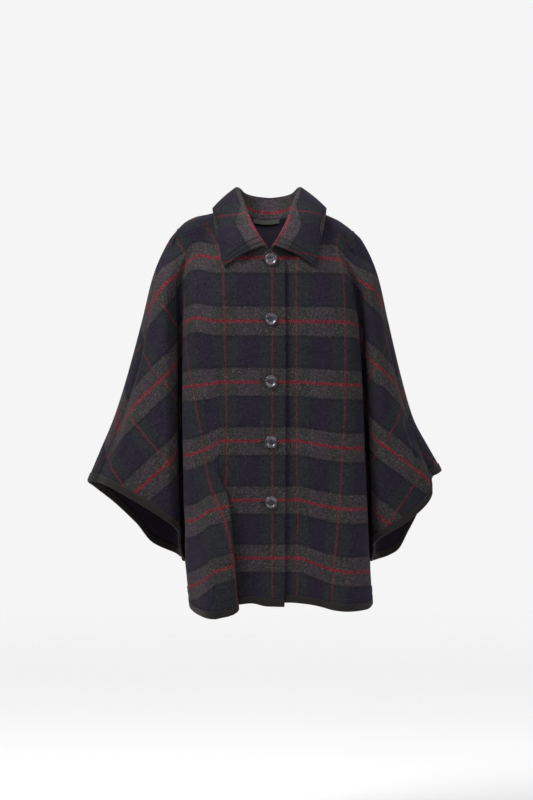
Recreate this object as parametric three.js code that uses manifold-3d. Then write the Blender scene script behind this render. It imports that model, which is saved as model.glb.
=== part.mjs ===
// Cape coat with half sleeves cut in one with fronts and back. Millimetres, +Z up, front toward -Y.
// Origin at the base of the neck. Names say right and left as the wearer has them; the wearer's
// right side lies at negative X.
import * as THREE from "three";
import Manifold from "manifold-3d";

const WALL = 2.4;            // thickness of the double-faced cloth
const SEAM_GAP = 0.4;        // room between two pieces at a seam
const OVERLAP_DEPTH = 6.4;   // the left front lies this much deeper under the overlap
const COLLAR_WALL = 2.8;
const TAPE = 1.1;            // thickness of the binding tape
const TAPE_GAP = 0.35;
const CUFF_TAPE_WIDTH = 16;
const HEM_TAPE_WIDTH = 12;
const BUTTON_RADIUS = 12.2;
const BUTTON_X = 3;
const BUTTON_Z = [-80, -198, -320, -438, -556];

// Heights at which the cross-section is given. crest: half width of the body; gap: width of the
// fold between body and sleeve; front, back: depth at the centre; crestY, lipY: depth of body and
// sleeve beside the fold; fold: how deep the fold reaches in.
const SECTION = [
  { z: -36, front: 84, crestY: 50, lipY: 48, fold: 0, back: 80 },
  { z: -106, front: 95, crestY: 73, lipY: 68, fold: 20, back: 92 },
  { z: -198, front: 108, crestY: 92, lipY: 82, fold: 44, back: 100 },
  { z: -320, front: 116, crestY: 101, lipY: 90, fold: 64, back: 105 },
  { z: -456, front: 118, crestY: 105, lipY: 92, fold: 84, back: 107 },
  { z: -556, front: 117, crestY: 107, lipY: 88, fold: 93, back: 106 },
  { z: -664, front: 116, crestY: 107, lipY: 76, fold: 100, back: 105 },
  { z: -692, front: 116, crestY: 107, lipY: 74, fold: 107, back: 105 },
  { z: -790, front: 116, crestY: 106, lipY: 74, fold: 106, back: 105 },
];

// Widths of each side: crest of the body, mouth of the fold, outer ridge of the sleeve.
const RIGHT_WIDTHS = [
  { z: -11, crest: 130, gap: 46, ridge: 188 },
  { z: -36, crest: 142, gap: 40, ridge: 202 },
  { z: -106, crest: 163, gap: 24, ridge: 231 },
  { z: -198, crest: 168, gap: 17, ridge: 254 },
  { z: -320, crest: 169, gap: 15, ridge: 287 },
  { z: -394, crest: 169, gap: 15, ridge: 311 },
  { z: -456, crest: 168, gap: 15, ridge: 337 },
  { z: -516, crest: 167, gap: 15, ridge: 362 },
  { z: -664, crest: 163, gap: 14, ridge: 418 },
  { z: -790, crest: 151, gap: 14, ridge: 455 },
];
const LEFT_WIDTHS = [
  { z: -16, crest: 122, gap: 48, ridge: 171 },
  { z: -36, crest: 134, gap: 44, ridge: 187 },
  { z: -106, crest: 156, gap: 26, ridge: 215 },
  { z: -198, crest: 172, gap: 17, ridge: 236 },
  { z: -320, crest: 180, gap: 15, ridge: 265 },
  { z: -394, crest: 183, gap: 15, ridge: 287 },
  { z: -456, crest: 185, gap: 15, ridge: 320 },
  { z: -496, crest: 187, gap: 15, ridge: 342 },
  { z: -664, crest: 194, gap: 14, ridge: 398 },
  { z: -790, crest: 202, gap: 14, ridge: 430 },
];

// Neck edge and shoulder seam. at: place along the edge, 0 neck to 1 end of shoulder;
// x, y, z: the seam; rx, ry, rz: the shoulder ridge behind it.
const RIGHT_SHOULDER = [
  { at: 0, x: 64, y: -8, z: 33, rx: 67, ry: 14, rz: 36 },
  { at: 0.22, x: 90, y: -24, z: 14, rx: 91, ry: 7, rz: 26 },
  { at: 0.45, x: 117, y: -31, z: 0, rx: 117, ry: 5, rz: 16 },
  { at: 0.7, x: 145, y: -32, z: -12, rx: 145, ry: 3, rz: 10 },
  { at: 0.85, x: 166, y: -30, z: -20, rx: 167, ry: 1, rz: 3 },
  { at: 1, x: 189, y: -24, z: -32, rx: 188, ry: 0, rz: -11 },
];
const LEFT_SHOULDER = [
  { at: 0, x: 64, y: -8, z: 33, rx: 67, ry: 14, rz: 36 },
  { at: 0.22, x: 88, y: -25, z: 15, rx: 90, ry: 7, rz: 25 },
  { at: 0.45, x: 113, y: -33, z: 0, rx: 114, ry: 5, rz: 13 },
  { at: 0.7, x: 134, y: -38, z: -20, rx: 136, ry: 3, rz: 3 },
  { at: 0.85, x: 148, y: -39, z: -36, rx: 153, ry: 1, rz: -5 },
  { at: 1, x: 161, y: -37, z: -54, rx: 171, ry: 0, rz: -16 },
];
// Seam down the arm, a little in front of the ridge.
const RIGHT_ARM_SEAM = [
  { z: -32, x: 189, y: -24 }, { z: -106, x: 212, y: -27 }, { z: -160, x: 228, y: -27 },
  { z: -270, x: 253, y: -27 }, { z: -424, x: 303, y: -26 }, { z: -520, x: 343, y: -24 },
];
const LEFT_ARM_SEAM = [
  { z: -54, x: 161, y: -37 }, { z: -74, x: 172, y: -37 }, { z: -100, x: 189, y: -33 },
  { z: -130, x: 204, y: -30 }, { z: -250, x: 236, y: -27 }, { z: -388, x: 273, y: -26 },
  { z: -522, x: 328, y: -23 },
];
const NECK_FRONT = [
  { u: -32, x: -32, y: -94, z: -84 }, { u: -14, x: -14, y: -93, z: -70 },
  { u: 6, x: 6, y: -90, z: -57 }, { u: 22, x: 22, y: -82, z: -45 },
  { u: 40, x: 38, y: -68, z: -28 }, { u: 56, x: 53, y: -42, z: -2 },
  { u: 64, x: 60, y: -24, z: 18 }, { u: 70, x: 64, y: -8, z: 33 },
];
// Back neck edge from the side of the neck to the centre; lower point a little down the back.
const NECK_BACK = [
  { at: 0, x: 64, y: -8, z: 33, rx: 67, ry: 14, rz: 36 },
  { at: 0.3, x: 61, y: 22, z: 29, rx: 71, ry: 36, rz: 22 },
  { at: 0.55, x: 48, y: 50, z: 19, rx: 55, ry: 61, rz: 6 },
  { at: 0.8, x: 22, y: 66, z: 11, rx: 25, ry: 77, rz: -6 },
  { at: 1, x: 0, y: 70, z: 9, rx: 0, ry: 82, rz: -10 },
];

// Lower ends: cuff edge heights for places round the sleeve, u counted from the front centre.
const RIGHT_CUFF = [
  { u: 246, front: -676, back: -676 }, { u: 262, front: -665, back: -677 },
  { u: 290, front: -642, back: -676 }, { u: 312, front: -616, back: -672 },
  { u: 332, front: -596, back: -662 }, { u: 356, front: -572, back: -644 },
  { u: 378, front: -554, back: -604 }, { u: 424, front: -526, back: -552 },
  { u: 464, front: -517, back: -528 }, { u: 484, front: -515, back: -516 },
];
const LEFT_CUFF = [
  { u: 246, front: -676, back: -676 }, { u: 262, front: -670, back: -677 },
  { u: 290, front: -652, back: -678 }, { u: 312, front: -638, back: -678 },
  { u: 332, front: -622, back: -674 }, { u: 356, front: -605, back: -660 },
  { u: 378, front: -588, back: -618 }, { u: 424, front: -545, back: -540 },
  { u: 464, front: -506, back: -504 }, { u: 484, front: -496, back: -496 },
];
const RIGHT_HEM = [
  { u: -32, front: -758, back: -764 }, { u: 6, front: -757, back: -764 },
  { u: 40, front: -751, back: -763 }, { u: 62, front: -755, back: -762 },
  { u: 85, front: -774, back: -760 }, { u: 110, front: -779, back: -758 },
  { u: 135, front: -778, back: -756 }, { u: 160, front: -772, back: -752 },
  { u: 180, front: -762, back: -748 }, { u: 200, front: -752, back: -744 },
  { u: 246, front: -740, back: -740 },
];
const LEFT_HEM = [
  { u: -32, front: -750, back: -764 }, { u: 32, front: -750, back: -763 },
  { u: 60, front: -752, back: -762 }, { u: 90, front: -758, back: -760 },
  { u: 130, front: -766, back: -758 }, { u: 160, front: -764, back: -753 },
  { u: 180, front: -756, back: -749 }, { u: 200, front: -748, back: -744 },
  { u: 246, front: -740, back: -740 },
];
const SIDE_SEAM_TOP = -676;

// Standing flutes toward the hem: x centre, half width, height, start height, lean to the centre.
const FLUTES = {
  right: {
    front: [{ x: 112, half: 46, rise: 32, top: -420, lean: 15 }],
    back: [{ x: 96, half: 55, rise: 20, top: -380, lean: 0 }],
  },
  left: {
    front: [{ x: 150, half: 48, rise: 20, top: -400, lean: 6 }],
    back: [{ x: 88, half: 55, rise: 22, top: -400, lean: 0 }],
  },
};

const COLUMNS = [-32, -14, 6, 22, 40, 56, 64, 70, 90, 115, 138, 155, 167, 180, 200, 222, 237, 246,
  255, 270, 292, 312, 323, 338, 360, 390, 420, 445, 464];
const BACK_COLUMNS = [464, 471, 478, 484, 504, 523, 548, 578, 608, 630, 645, 656, 676, 698, 713,
  722, 731, 746, 768, 788, 801, 813, 830, 853, 878, 898, 913, 933, 951, 968];
const ROWS_UPPER = [0, 0.022, 0.05, 0.085, 0.13, 0.185, 0.25, 0.32, 0.395, 0.47, 0.545, 0.62,
  0.695, 0.77, 0.845, 0.925, 1];
const ROWS_LOWER = [0, 0.5, 1];
const FOLD_COLUMN = 246;
const RIDGE_COLUMN = 484;
const BACK_CENTRE = 968;

// smooth curve through table rows, flat beyond the ends
function table(rows, key, name) {
  const flip = rows[0][key] > rows[rows.length - 1][key];
  const list = flip ? [...rows].reverse() : rows;
  const xs = list.map((r) => r[key]);
  const ys = list.map((r) => r[name]);
  const n = xs.length;
  const slope = [];
  for (let i = 0; i < n - 1; i++) slope.push((ys[i + 1] - ys[i]) / (xs[i + 1] - xs[i]));
  const tangent = ys.map((_, i) => {
    if (i === 0) return slope[0];
    if (i === n - 1) return slope[n - 2];
    const a = slope[i - 1], b = slope[i];
    return a * b <= 0 ? 0 : 2 * a * b / (a + b);
  });
  return (x) => {
    if (x <= xs[0]) return ys[0];
    if (x >= xs[n - 1]) return ys[n - 1];
    let i = 0;
    while (x > xs[i + 1]) i++;
    const h = xs[i + 1] - xs[i], t = (x - xs[i]) / h, t2 = t * t, t3 = t2 * t;
    return (2 * t3 - 3 * t2 + 1) * ys[i] + (t3 - 2 * t2 + t) * h * tangent[i]
      + (3 * t2 - 2 * t3) * ys[i + 1] + (t3 - t2) * h * tangent[i + 1];
  };
}
const tables = (rows, key, names) =>
  Object.fromEntries(names.map((name) => [name, table(rows, key, name)]));
const mix = (a, b, t) => a + (b - a) * t;
const clamp = (t) => Math.min(1, Math.max(0, t));
const smooth = (a, b, x) => { const t = clamp((x - a) / (b - a)); return t * t * (3 - 2 * t); };
const bump = (t) => (Math.abs(t) < 1 ? Math.cos(t * Math.PI / 2) ** 2 : 0);

const section = tables(SECTION, "z", ["front", "crestY", "lipY", "fold", "back"]);

function makeSide(name, sign, widths, shoulder, armSeam, cuff, hem) {
  const seamNames = ["x", "y", "z", "rx", "ry", "rz"];
  return {
    name, sign, flutes: FLUTES[name],
    ...tables(widths, "z", ["crest", "gap", "ridge"]),
    shoulder: tables(shoulder, "at", seamNames),
    neckBack: tables(NECK_BACK, "at", seamNames),
    arm: tables(armSeam, "z", ["x", "y"]),
    cuff: tables(cuff, "u", ["front", "back"]),
    hem: tables(hem, "u", ["front", "back"]),
  };
}
const neckFront = tables(NECK_FRONT, "u", ["x", "y", "z"]);
const RIGHT = makeSide("right", -1, RIGHT_WIDTHS, RIGHT_SHOULDER, RIGHT_ARM_SEAM, RIGHT_CUFF,
  RIGHT_HEM);
const LEFT = makeSide("left", 1, LEFT_WIDTHS, LEFT_SHOULDER, LEFT_ARM_SEAM, LEFT_CUFF, LEFT_HEM);

// Where column u of the cloth lies at height z. u runs from the front centre over the fold and the
// sleeve ridge (484) to the back centre (968). x counts outward from the middle.
const KNOTS = [0, 60, 115, 150, 176, 200, 222, 238, 246, 254, 270, 292, 312, 332, 378, 424, 464,
  484];
function knots(side, z, isBack) {
  const c = side.crest(z), w = side.gap(z), R = side.ridge(z);
  const centre = isBack ? section.back(z) : section.front(z);
  const crest = section.crestY(z) - (isBack ? 3 : 0);
  const lip = section.lipY(z) - (isBack ? 2 : 0);
  const depth = section.fold(z) - (isBack ? 3 : 0) * clamp(section.fold(z) / 60);
  const round = smooth(-706, -640, z);
  const deep = smooth(0.2, 2.2, depth / w);
  const reach = Math.min(18, 0.3 * (R - c - w));
  const list = [
    { x: 0, y: centre },
    { x: 60 * c / 173, y: centre + 1 },
    { x: 115 * c / 173, y: mix(centre, crest, 0.35) + 2 },
    { x: c - 20, y: crest + 2 },
  ];
  const corner = 20 * deep;
  for (const e of [-1, -0.68, -0.36, -0.12, 0, 0.12, 0.36, 0.68, 1]) {
    const sag = mix(0.5 + 0.5 * Math.cos(Math.PI * e), 1 - Math.abs(e) ** 1.25, deep);
    const k = mix(0.6, 5.5, deep);
    const cup = Math.tanh(k * e) / Math.tanh(k);
    const flat = e <= 0 ? -1 + 0.7 * (e + 1) : -0.3 + 1.3 * e;
    const top = mix(crest, lip, (e + 1) / 2) - corner * Math.abs(e);
    list.push({
      x: c + w / 2 + w / 2 * mix(flat, cup, round),
      y: mix(top, crest - depth, sag),
    });
  }
  list.push({ x: c + w + reach, y: lip });
  list.push({ x: mix(c + w + reach, R, 0.36), y: lip * 0.9 });
  list.push({ x: mix(c + w + reach, R, 0.7), y: lip * 0.62 });
  list.push(isBack ? { x: R - 16, y: 24 } : { x: side.arm.x(z), y: -side.arm.y(z) });
  list.push({ x: R, y: 0 });
  return list;
}
function throughKnots(list, u) {
  let i = 0;
  while (i < KNOTS.length - 2 && u > KNOTS[i + 1]) i++;
  const at = (j, k) => list[Math.min(KNOTS.length - 1, Math.max(0, j))][k];
  const slopeAt = (j, k) => {
    if (j === 0) return k === "x" ? (at(1, k) - at(0, k)) / (KNOTS[1] - KNOTS[0]) : 0;
    if (j === KNOTS.length - 1) {
      return k === "x" ? 0 : (at(j, k) - at(j - 1, k)) / (KNOTS[j] - KNOTS[j - 1]) * 1.3;
    }
    return (at(j + 1, k) - at(j - 1, k)) / (KNOTS[j + 1] - KNOTS[j - 1]);
  };
  const h = KNOTS[i + 1] - KNOTS[i], t = (u - KNOTS[i]) / h, t2 = t * t, t3 = t2 * t;
  const value = (k) => (2 * t3 - 3 * t2 + 1) * at(i, k) + (t3 - 2 * t2 + t) * h * slopeAt(i, k)
    + (3 * t2 - 2 * t3) * at(i + 1, k) + (t3 - t2) * h * slopeAt(i + 1, k);
  return { x: value("x"), y: value("y") };
}
function drape(side, u, z) {
  const isBack = u > RIDGE_COLUMN;
  const v = isBack ? BACK_CENTRE - u : u;
  const p = throughKnots(knots(side, z, isBack), v);
  for (const f of side.flutes[isBack ? "back" : "front"]) {
    const grow = smooth(f.top, -790, z) * smooth(215, 170, v);
    p.y += f.rise * grow * bump((p.x - f.x) / f.half);
    p.x -= f.lean * grow * bump((p.x - f.x + f.half * 0.55) / (f.half * 0.72));
  }
  if (!isBack) p.y = -p.y;
  if (side.name === "left" && !isBack) p.y += OVERLAP_DEPTH * smooth(64, 40, v);
  return p;
}

// Place along the shoulder seam for a column of the front.
const SHOULDER_PLACE = [
  { u: 70, at: 0 }, { u: 115, at: 0.35 }, { u: 155, at: 0.55 }, { u: 246, at: 0.74 },
  { u: 323, at: 0.86 }, { u: 390, at: 0.93 }, { u: 464, at: 1 },
];
const shoulderPlace = table(SHOULDER_PLACE, "u", "at");
function frontTop(side, u) {
  if (u <= 70) {
    const deeper = side.name === "left" ? OVERLAP_DEPTH * smooth(64, 40, u) : 0;
    return { x: neckFront.x(u), y: neckFront.y(u) + deeper, z: neckFront.z(u) };
  }
  const at = shoulderPlace(u), s = side.shoulder;
  return { x: s.x(at), y: s.y(at), z: s.z(at) };
}
const wrap = (side, u) => u >= FOLD_COLUMN && u <= BACK_CENTRE - FOLD_COLUMN;
function lowerEnd(side, u) {
  if (!wrap(side, u)) return SIDE_SEAM_TOP;
  return u <= RIDGE_COLUMN ? side.cuff.front(u) : side.cuff.back(BACK_CENTRE - u);
}
function hemEnd(side, u) {
  return u <= RIDGE_COLUMN ? side.hem.front(u) : side.hem.back(BACK_CENTRE - u);
}
// rows from a top height to an end height, the last one as far down as the tape is wide
function heights(top, end, rows, tape) {
  return [...rows.map((v) => mix(top, end + tape, v)), end];
}
function settle(top, p, z, reach, spread = 1) {
  const d = top.z - z;
  const gy = Math.sin(clamp(d / reach) * Math.PI / 2), gx = smooth(0, reach * spread, d);
  return { x: mix(top.x, p.x, gx), y: mix(top.y, p.y, gy), z };
}
function frontColumn(side, u) {
  const v = Math.abs(u), top = frontTop(side, v);
  const reach = mix(70, 120, smooth(20, 70, v)) * mix(1, 0.7, smooth(300, 464, v));
  const place = (z) => {
    if (u === 464) return { x: side.arm.x(z), y: side.arm.y(z), z };
    const p = settle(top, drape(side, v, z), z, reach, mix(1, 0.4, smooth(340, 464, v)));
    return { x: u < 0 ? -p.x : p.x, y: p.y, z };
  };
  const start = frontTop(side, u).z;
  const upper = heights(start, lowerEnd(side, u), ROWS_UPPER, CUFF_TAPE_WIDTH).map(place);
  const lower = u > FOLD_COLUMN ? []
    : heights(SIDE_SEAM_TOP, hemEnd(side, u), ROWS_LOWER, HEM_TAPE_WIDTH).map(place);
  return { upper, lower };
}
const bezier = (a, c, b, t) => ({
  x: (1 - t) ** 2 * a.x + 2 * t * (1 - t) * c.x + t * t * b.x,
  y: (1 - t) ** 2 * a.y + 2 * t * (1 - t) * c.y + t * t * b.y,
  z: (1 - t) ** 2 * a.z + 2 * t * (1 - t) * c.z + t * t * b.z,
});
// The back's top: first the shoulder seam from its outer end to the neck, then the neck edge.
const SEAM_COLUMNS = COLUMNS.filter((u) => u >= 70).reverse();
function backTop(side, i) {
  const s = side.shoulder, n = side.neckBack;
  const seamPoint = (at) => ({
    seam: { x: s.x(at), y: s.y(at), z: s.z(at) }, ridge: { x: s.rx(at), y: s.ry(at), z: s.rz(at) },
  });
  const steps = SEAM_COLUMNS.length - 2;
  if (i <= 3) {
    const a = seamPoint(1), b = seamPoint(shoulderPlace(SEAM_COLUMNS[1])), t = i / 3;
    const blend = (p, q) => ({ x: mix(p.x, q.x, t), y: mix(p.y, q.y, t), z: mix(p.z, q.z, t) });
    return { seam: blend(a.seam, b.seam), ridge: blend(a.ridge, b.ridge) };
  }
  if (i - 3 <= steps) return seamPoint(shoulderPlace(SEAM_COLUMNS[i - 2]));
  const at = (i - 3 - steps) / (BACK_COLUMNS.length - 1 - 3 - steps);
  return {
    seam: { x: n.x(at), y: n.y(at), z: n.z(at) }, ridge: { x: n.rx(at), y: n.ry(at), z: n.rz(at) },
  };
}
function backColumn(side, i) {
  const u = BACK_COLUMNS[i];
  if (i < 3) {
    const seam = frontColumn(side, 464).upper, ridge = backColumn(side, 3).upper;
    const top = backTop(side, i).seam;
    const upper = seam.map((a, j) => {
      const b = ridge[j];
      const c = { x: mix(a.x, b.x, 0.75), y: mix(a.y, b.y, 0.25), z: mix(a.z, b.z, 0.5) };
      const p = bezier(a, c, b, i / 3);
      return j === 0 ? top : p;
    });
    return { upper, lower: [] };
  }
  const { seam, ridge } = backTop(side, i);
  const control = { x: mix(seam.x, ridge.x, 0.5), y: mix(seam.y, ridge.y, 0.35),
    z: mix(seam.z, ridge.z, 0.9) };
  const neck = i - 3 > SEAM_COLUMNS.length - 2;
  const bend = neck ? bezier(seam, seam, ridge, 0.7) : control;
  const strip = [0, 1, 2].map((k) => bezier(seam, bend, ridge, k / 3));
  const reach = mix(60, 110, smooth(RIDGE_COLUMN, 700, u));
  const spread = mix(0.3, 1, smooth(RIDGE_COLUMN, 600, u));
  const place = (z) => (i === 3 ? { ...drape(side, RIDGE_COLUMN, z), z }
    : settle(ridge, drape(side, u, z), z, reach, spread));
  const rest = ROWS_UPPER.slice(3).map((v) => (v - ROWS_UPPER[3]) / (1 - ROWS_UPPER[3]));
  const main = heights(ridge.z, lowerEnd(side, u), rest, CUFF_TAPE_WIDTH).map(place);
  const lower = wrap(side, u) && u !== BACK_CENTRE - FOLD_COLUMN ? []
    : heights(SIDE_SEAM_TOP, hemEnd(side, u), ROWS_LOWER, HEM_TAPE_WIDTH).map(place);
  return { upper: [...strip, ...main], lower };
}

// A sheet is a set of points joined by triangles; equal points are one. Seam points are marked.
const keyOf = (p) => `${Math.round(p.x * 2000)},${Math.round(p.y * 2000)},${Math.round(p.z * 2000)}`;
function newSheet() { return { points: [], index: new Map(), triangles: [], seam: new Set() }; }
function addPoint(sheet, p, seam) {
  const key = keyOf(p);
  if (!sheet.index.has(key)) {
    sheet.index.set(key, sheet.points.length);
    sheet.points.push(new THREE.Vector3(p.x, p.y, p.z));
  }
  const id = sheet.index.get(key);
  if (seam) sheet.seam.add(id);
  return id;
}
function addGrid(sheet, columns, sign, isSeam, flip = false) {
  const ids = columns.map((column, i) =>
    column.map((p, j) => addPoint(sheet, { x: sign * p.x, y: p.y, z: p.z }, isSeam(i, j))));
  for (let i = 0; i + 1 < ids.length; i++) {
    for (let j = 0; j + 1 < Math.min(ids[i].length, ids[i + 1].length); j++) {
      const [a, b, c, d] = [ids[i][j], ids[i + 1][j], ids[i + 1][j + 1], ids[i][j + 1]];
      const tris = [[a, b, c], [a, c, d]];
      for (const t of tris) {
        if (new Set(t).size < 3) continue;
        sheet.triangles.push((sign < 0) !== flip ? t : [t[0], t[2], t[1]]);
      }
    }
  }
  return ids;
}
function normalsOf(sheet) {
  const normals = sheet.points.map(() => new THREE.Vector3());
  for (const [a, b, c] of sheet.triangles) {
    const [p, q, r] = [a, b, c].map((k) => sheet.points[k]);
    const n = q.clone().sub(p).cross(r.clone().sub(p));
    [[a, p, q, r], [b, q, r, p], [c, r, p, q]].forEach(([k, o, s, t]) => {
      const angle = s.clone().sub(o).angleTo(t.clone().sub(o));
      normals[k].addScaledVector(n.clone().normalize(), angle);
    });
  }
  return normals.map((n) => n.normalize());
}
function borderOf(sheet) {
  const count = new Map();
  for (const [a, b, c] of sheet.triangles) {
    for (const [p, q] of [[a, b], [b, c], [c, a]]) {
      const key = p < q ? `${p},${q}` : `${q},${p}`;
      count.set(key, count.has(key) ? null : [p, q]);
    }
  }
  return [...count.values()].filter(Boolean);
}
// equal seam points of two sheets take one normal, then each sheet is drawn back by half the gap
function joinNormals(sheets) {
  const sum = new Map();
  for (const s of sheets) {
    s.normals = normalsOf(s);
    s.seam.forEach((k) => {
      const key = keyOf(s.points[k]);
      sum.set(key, (sum.get(key) || new THREE.Vector3()).add(s.normals[k]));
    });
  }
  for (const s of sheets) {
    s.seam.forEach((k) => { s.normals[k] = sum.get(keyOf(s.points[k])).clone().normalize(); });
  }
}
function drawBack(sheet) {
  const border = borderOf(sheet), along = new Map(), inner = new Map();
  for (const [p, q] of border) {
    const d = sheet.points[q].clone().sub(sheet.points[p]).normalize();
    for (const k of [p, q]) along.set(k, (along.get(k) || new THREE.Vector3()).add(d));
  }
  for (const t of sheet.triangles) {
    const centre = t.reduce((s, k) => s.add(sheet.points[k]), new THREE.Vector3()).divideScalar(3);
    for (const k of t) {
      if (!along.has(k)) continue;
      inner.set(k, (inner.get(k) || new THREE.Vector3()).add(centre.clone().sub(sheet.points[k])));
    }
  }
  sheet.inner = new Map();
  const moved = sheet.points.map((p) => p.clone());
  for (const [k, d] of inner) {
    const e = along.get(k).clone().normalize(), n = sheet.normals[k];
    d.addScaledVector(e, -d.dot(e)).addScaledVector(n, -d.dot(n)).normalize();
    sheet.inner.set(k, d);
    if (sheet.seam.has(k)) moved[k].addScaledVector(d, SEAM_GAP / 2);
  }
  sheet.points = moved;
}
function thicken(sheet, wall) {
  const n = sheet.points.length, points = [], triangles = [];
  for (const side of [0.5, -0.5]) {
    sheet.points.forEach((p, k) =>
      points.push(p.clone().addScaledVector(sheet.normals[k], side * wall)));
  }
  for (const [a, b, c] of sheet.triangles) triangles.push([a, b, c], [a + n, c + n, b + n]);
  // both pieces at a seam split their edge faces the same way
  const rank = (k) => sheet.points[k].x + 1.7 * sheet.points[k].z + 0.4 * sheet.points[k].y;
  for (const [p, q] of borderOf(sheet)) {
    if (rank(p) < rank(q)) triangles.push([q, p, q + n], [p, p + n, q + n]);
    else triangles.push([q, p, p + n], [q, p + n, q + n]);
  }
  return { points, triangles };
}
function meshOf(name, { points, triangles }, material) {
  const geometry = new THREE.BufferGeometry();
  geometry.setAttribute("position",
    new THREE.Float32BufferAttribute(points.flatMap((p) => [p.x, p.y, p.z]), 3));
  geometry.setIndex(triangles.flat());
  geometry.computeVertexNormals();
  const mesh = new THREE.Mesh(geometry, material);
  mesh.name = name;
  return mesh;
}

// fronts and back
function frontSheet(side) {
  const sheet = newSheet(), cols = COLUMNS.map((u) => frontColumn(side, u));
  const last = COLUMNS.length - 1, fold = COLUMNS.indexOf(FOLD_COLUMN);
  sheet.upper = addGrid(sheet, cols.map((c) => c.upper), side.sign,
    (i, j) => (j === 0 && COLUMNS[i] >= 6) || i === last);
  sheet.lower = addGrid(sheet, cols.slice(0, fold + 1).map((c) => c.lower), side.sign,
    (i, j) => i === fold && cols[i].lower[j].z < -700);
  return sheet;
}
function backSheet() {
  const sheet = newSheet();
  sheet.upper = {};
  sheet.lower = {};
  for (const side of [RIGHT, LEFT]) {
    const cols = BACK_COLUMNS.map((_, i) => backColumn(side, i));
    const fold = BACK_COLUMNS.indexOf(BACK_CENTRE - FOLD_COLUMN);
    sheet.upper[side.name] = addGrid(sheet, cols.map((c) => c.upper), side.sign,
      (i, j) => j === 0 || i === 0);
    sheet.lower[side.name] = addGrid(sheet, cols.slice(fold).map((c) => c.lower), side.sign,
      (i, j) => i === 0 && cols[fold].lower[j].z < -700);
  }
  return sheet;
}
const rightSheet = frontSheet(RIGHT), leftSheet = frontSheet(LEFT), backCloth = backSheet();

// Height of the cloth surface toward the front at a place seen from the front.
function frontY(sheet, x, z) {
  let best = 0;
  for (const t of sheet.triangles) {
    const [a, b, c] = t.map((k) => sheet.points[k]);
    const area = (b.x - a.x) * (c.z - a.z) - (c.x - a.x) * (b.z - a.z);
    if (Math.abs(area) < 1e-6) continue;
    const v = ((x - a.x) * (c.z - a.z) - (c.x - a.x) * (z - a.z)) / area;
    const w = ((b.x - a.x) * (z - a.z) - (x - a.x) * (b.z - a.z)) / area;
    if (v < -1e-6 || w < -1e-6 || v + w > 1 + 1e-6) continue;
    best = Math.min(best, a.y + v * (b.y - a.y) + w * (c.y - a.y));
  }
  return best;
}

// Collar. at: 0 at the front end, 1 at the side of the neck, 2 at the back centre; roll: where it
// folds over; edge: its outer edge.
const COLLAR_FRONT = [
  { u: 6, rollX: 8, rollY: -98, rollZ: -52, edgeX: 88, edgeZ: -94, lift: 5 },
  { u: 22, rollX: 23, rollY: -91, rollZ: -30, edgeX: 94, edgeZ: -80, lift: 5 },
  { u: 40, rollX: 38, rollY: -74, rollZ: -2, edgeX: 98, edgeZ: -54, lift: 5 },
  { u: 56, rollX: 51, rollY: -48, rollZ: 32, edgeX: 105, edgeZ: -22, lift: 8 },
  { u: 64, rollX: 58, rollY: -28, rollZ: 52, edgeX: 110, edgeZ: 2, lift: 11 },
];
const COLLAR_BACK = [
  { at: 0, rollX: 63, rollY: -6, rollZ: 68, edgeX: 113, edgeY: -10, edgeZ: 26 },
  { at: 0.3, rollX: 61, rollY: 26, rollZ: 70, edgeX: 104, edgeY: 56, edgeZ: 14 },
  { at: 0.55, rollX: 47, rollY: 54, rollZ: 60, edgeX: 80, edgeY: 88, edgeZ: 1 },
  { at: 0.8, rollX: 22, rollY: 72, rollZ: 55, edgeX: 38, edgeY: 104, edgeZ: -11 },
  { at: 1, rollX: 0, rollY: 76, rollZ: 53, edgeX: 0, edgeY: 109, edgeZ: -14 },
];
const collarFront = tables(COLLAR_FRONT, "u", ["rollX", "rollY", "rollZ", "edgeX", "edgeZ", "lift"]);
const collarBack = tables(COLLAR_BACK, "at", ["rollX", "rollY", "rollZ", "edgeX", "edgeY", "edgeZ"]);
const ROLL = 5.2;
function collarColumn(station) {
  const { base, roll, edge } = station;
  const out = new THREE.Vector3(edge.x - roll.x, edge.y - roll.y, 0).normalize();
  const b = new THREE.Vector3(base.x, base.y, base.z);
  const r = new THREE.Vector3(roll.x, roll.y, roll.z);
  const e = new THREE.Vector3(edge.x, edge.y, edge.z);
  const inner = r.clone().addScaledVector(out, -ROLL * 0.6);
  const list = [b];
  for (const t of [0.25, 0.6, 1]) {
    const p = b.clone().lerp(inner, t);
    p.z -= (1 - t) * t * 4;
    if (t === 1) p.z -= ROLL;
    list.push(p);
  }
  for (const a of [50, 90, 130]) {
    const f = a * Math.PI / 180;
    const p = r.clone().addScaledVector(out, ROLL * (0.4 - Math.cos(f)));
    p.z += (Math.sin(f) - 1) * ROLL;
    list.push(p);
  }
  const start = list[list.length - 1];
  const steps = 6;
  for (let k = 1; k <= steps; k++) {
    const t = k / steps, p = start.clone().lerp(e, t);
    const arch = 4 * t * (1 - t);
    p.addScaledVector(out, arch * station.arch);
    p.z += arch * station.arch * 0.8;
    list.push(p);
  }
  return list;
}
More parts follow.
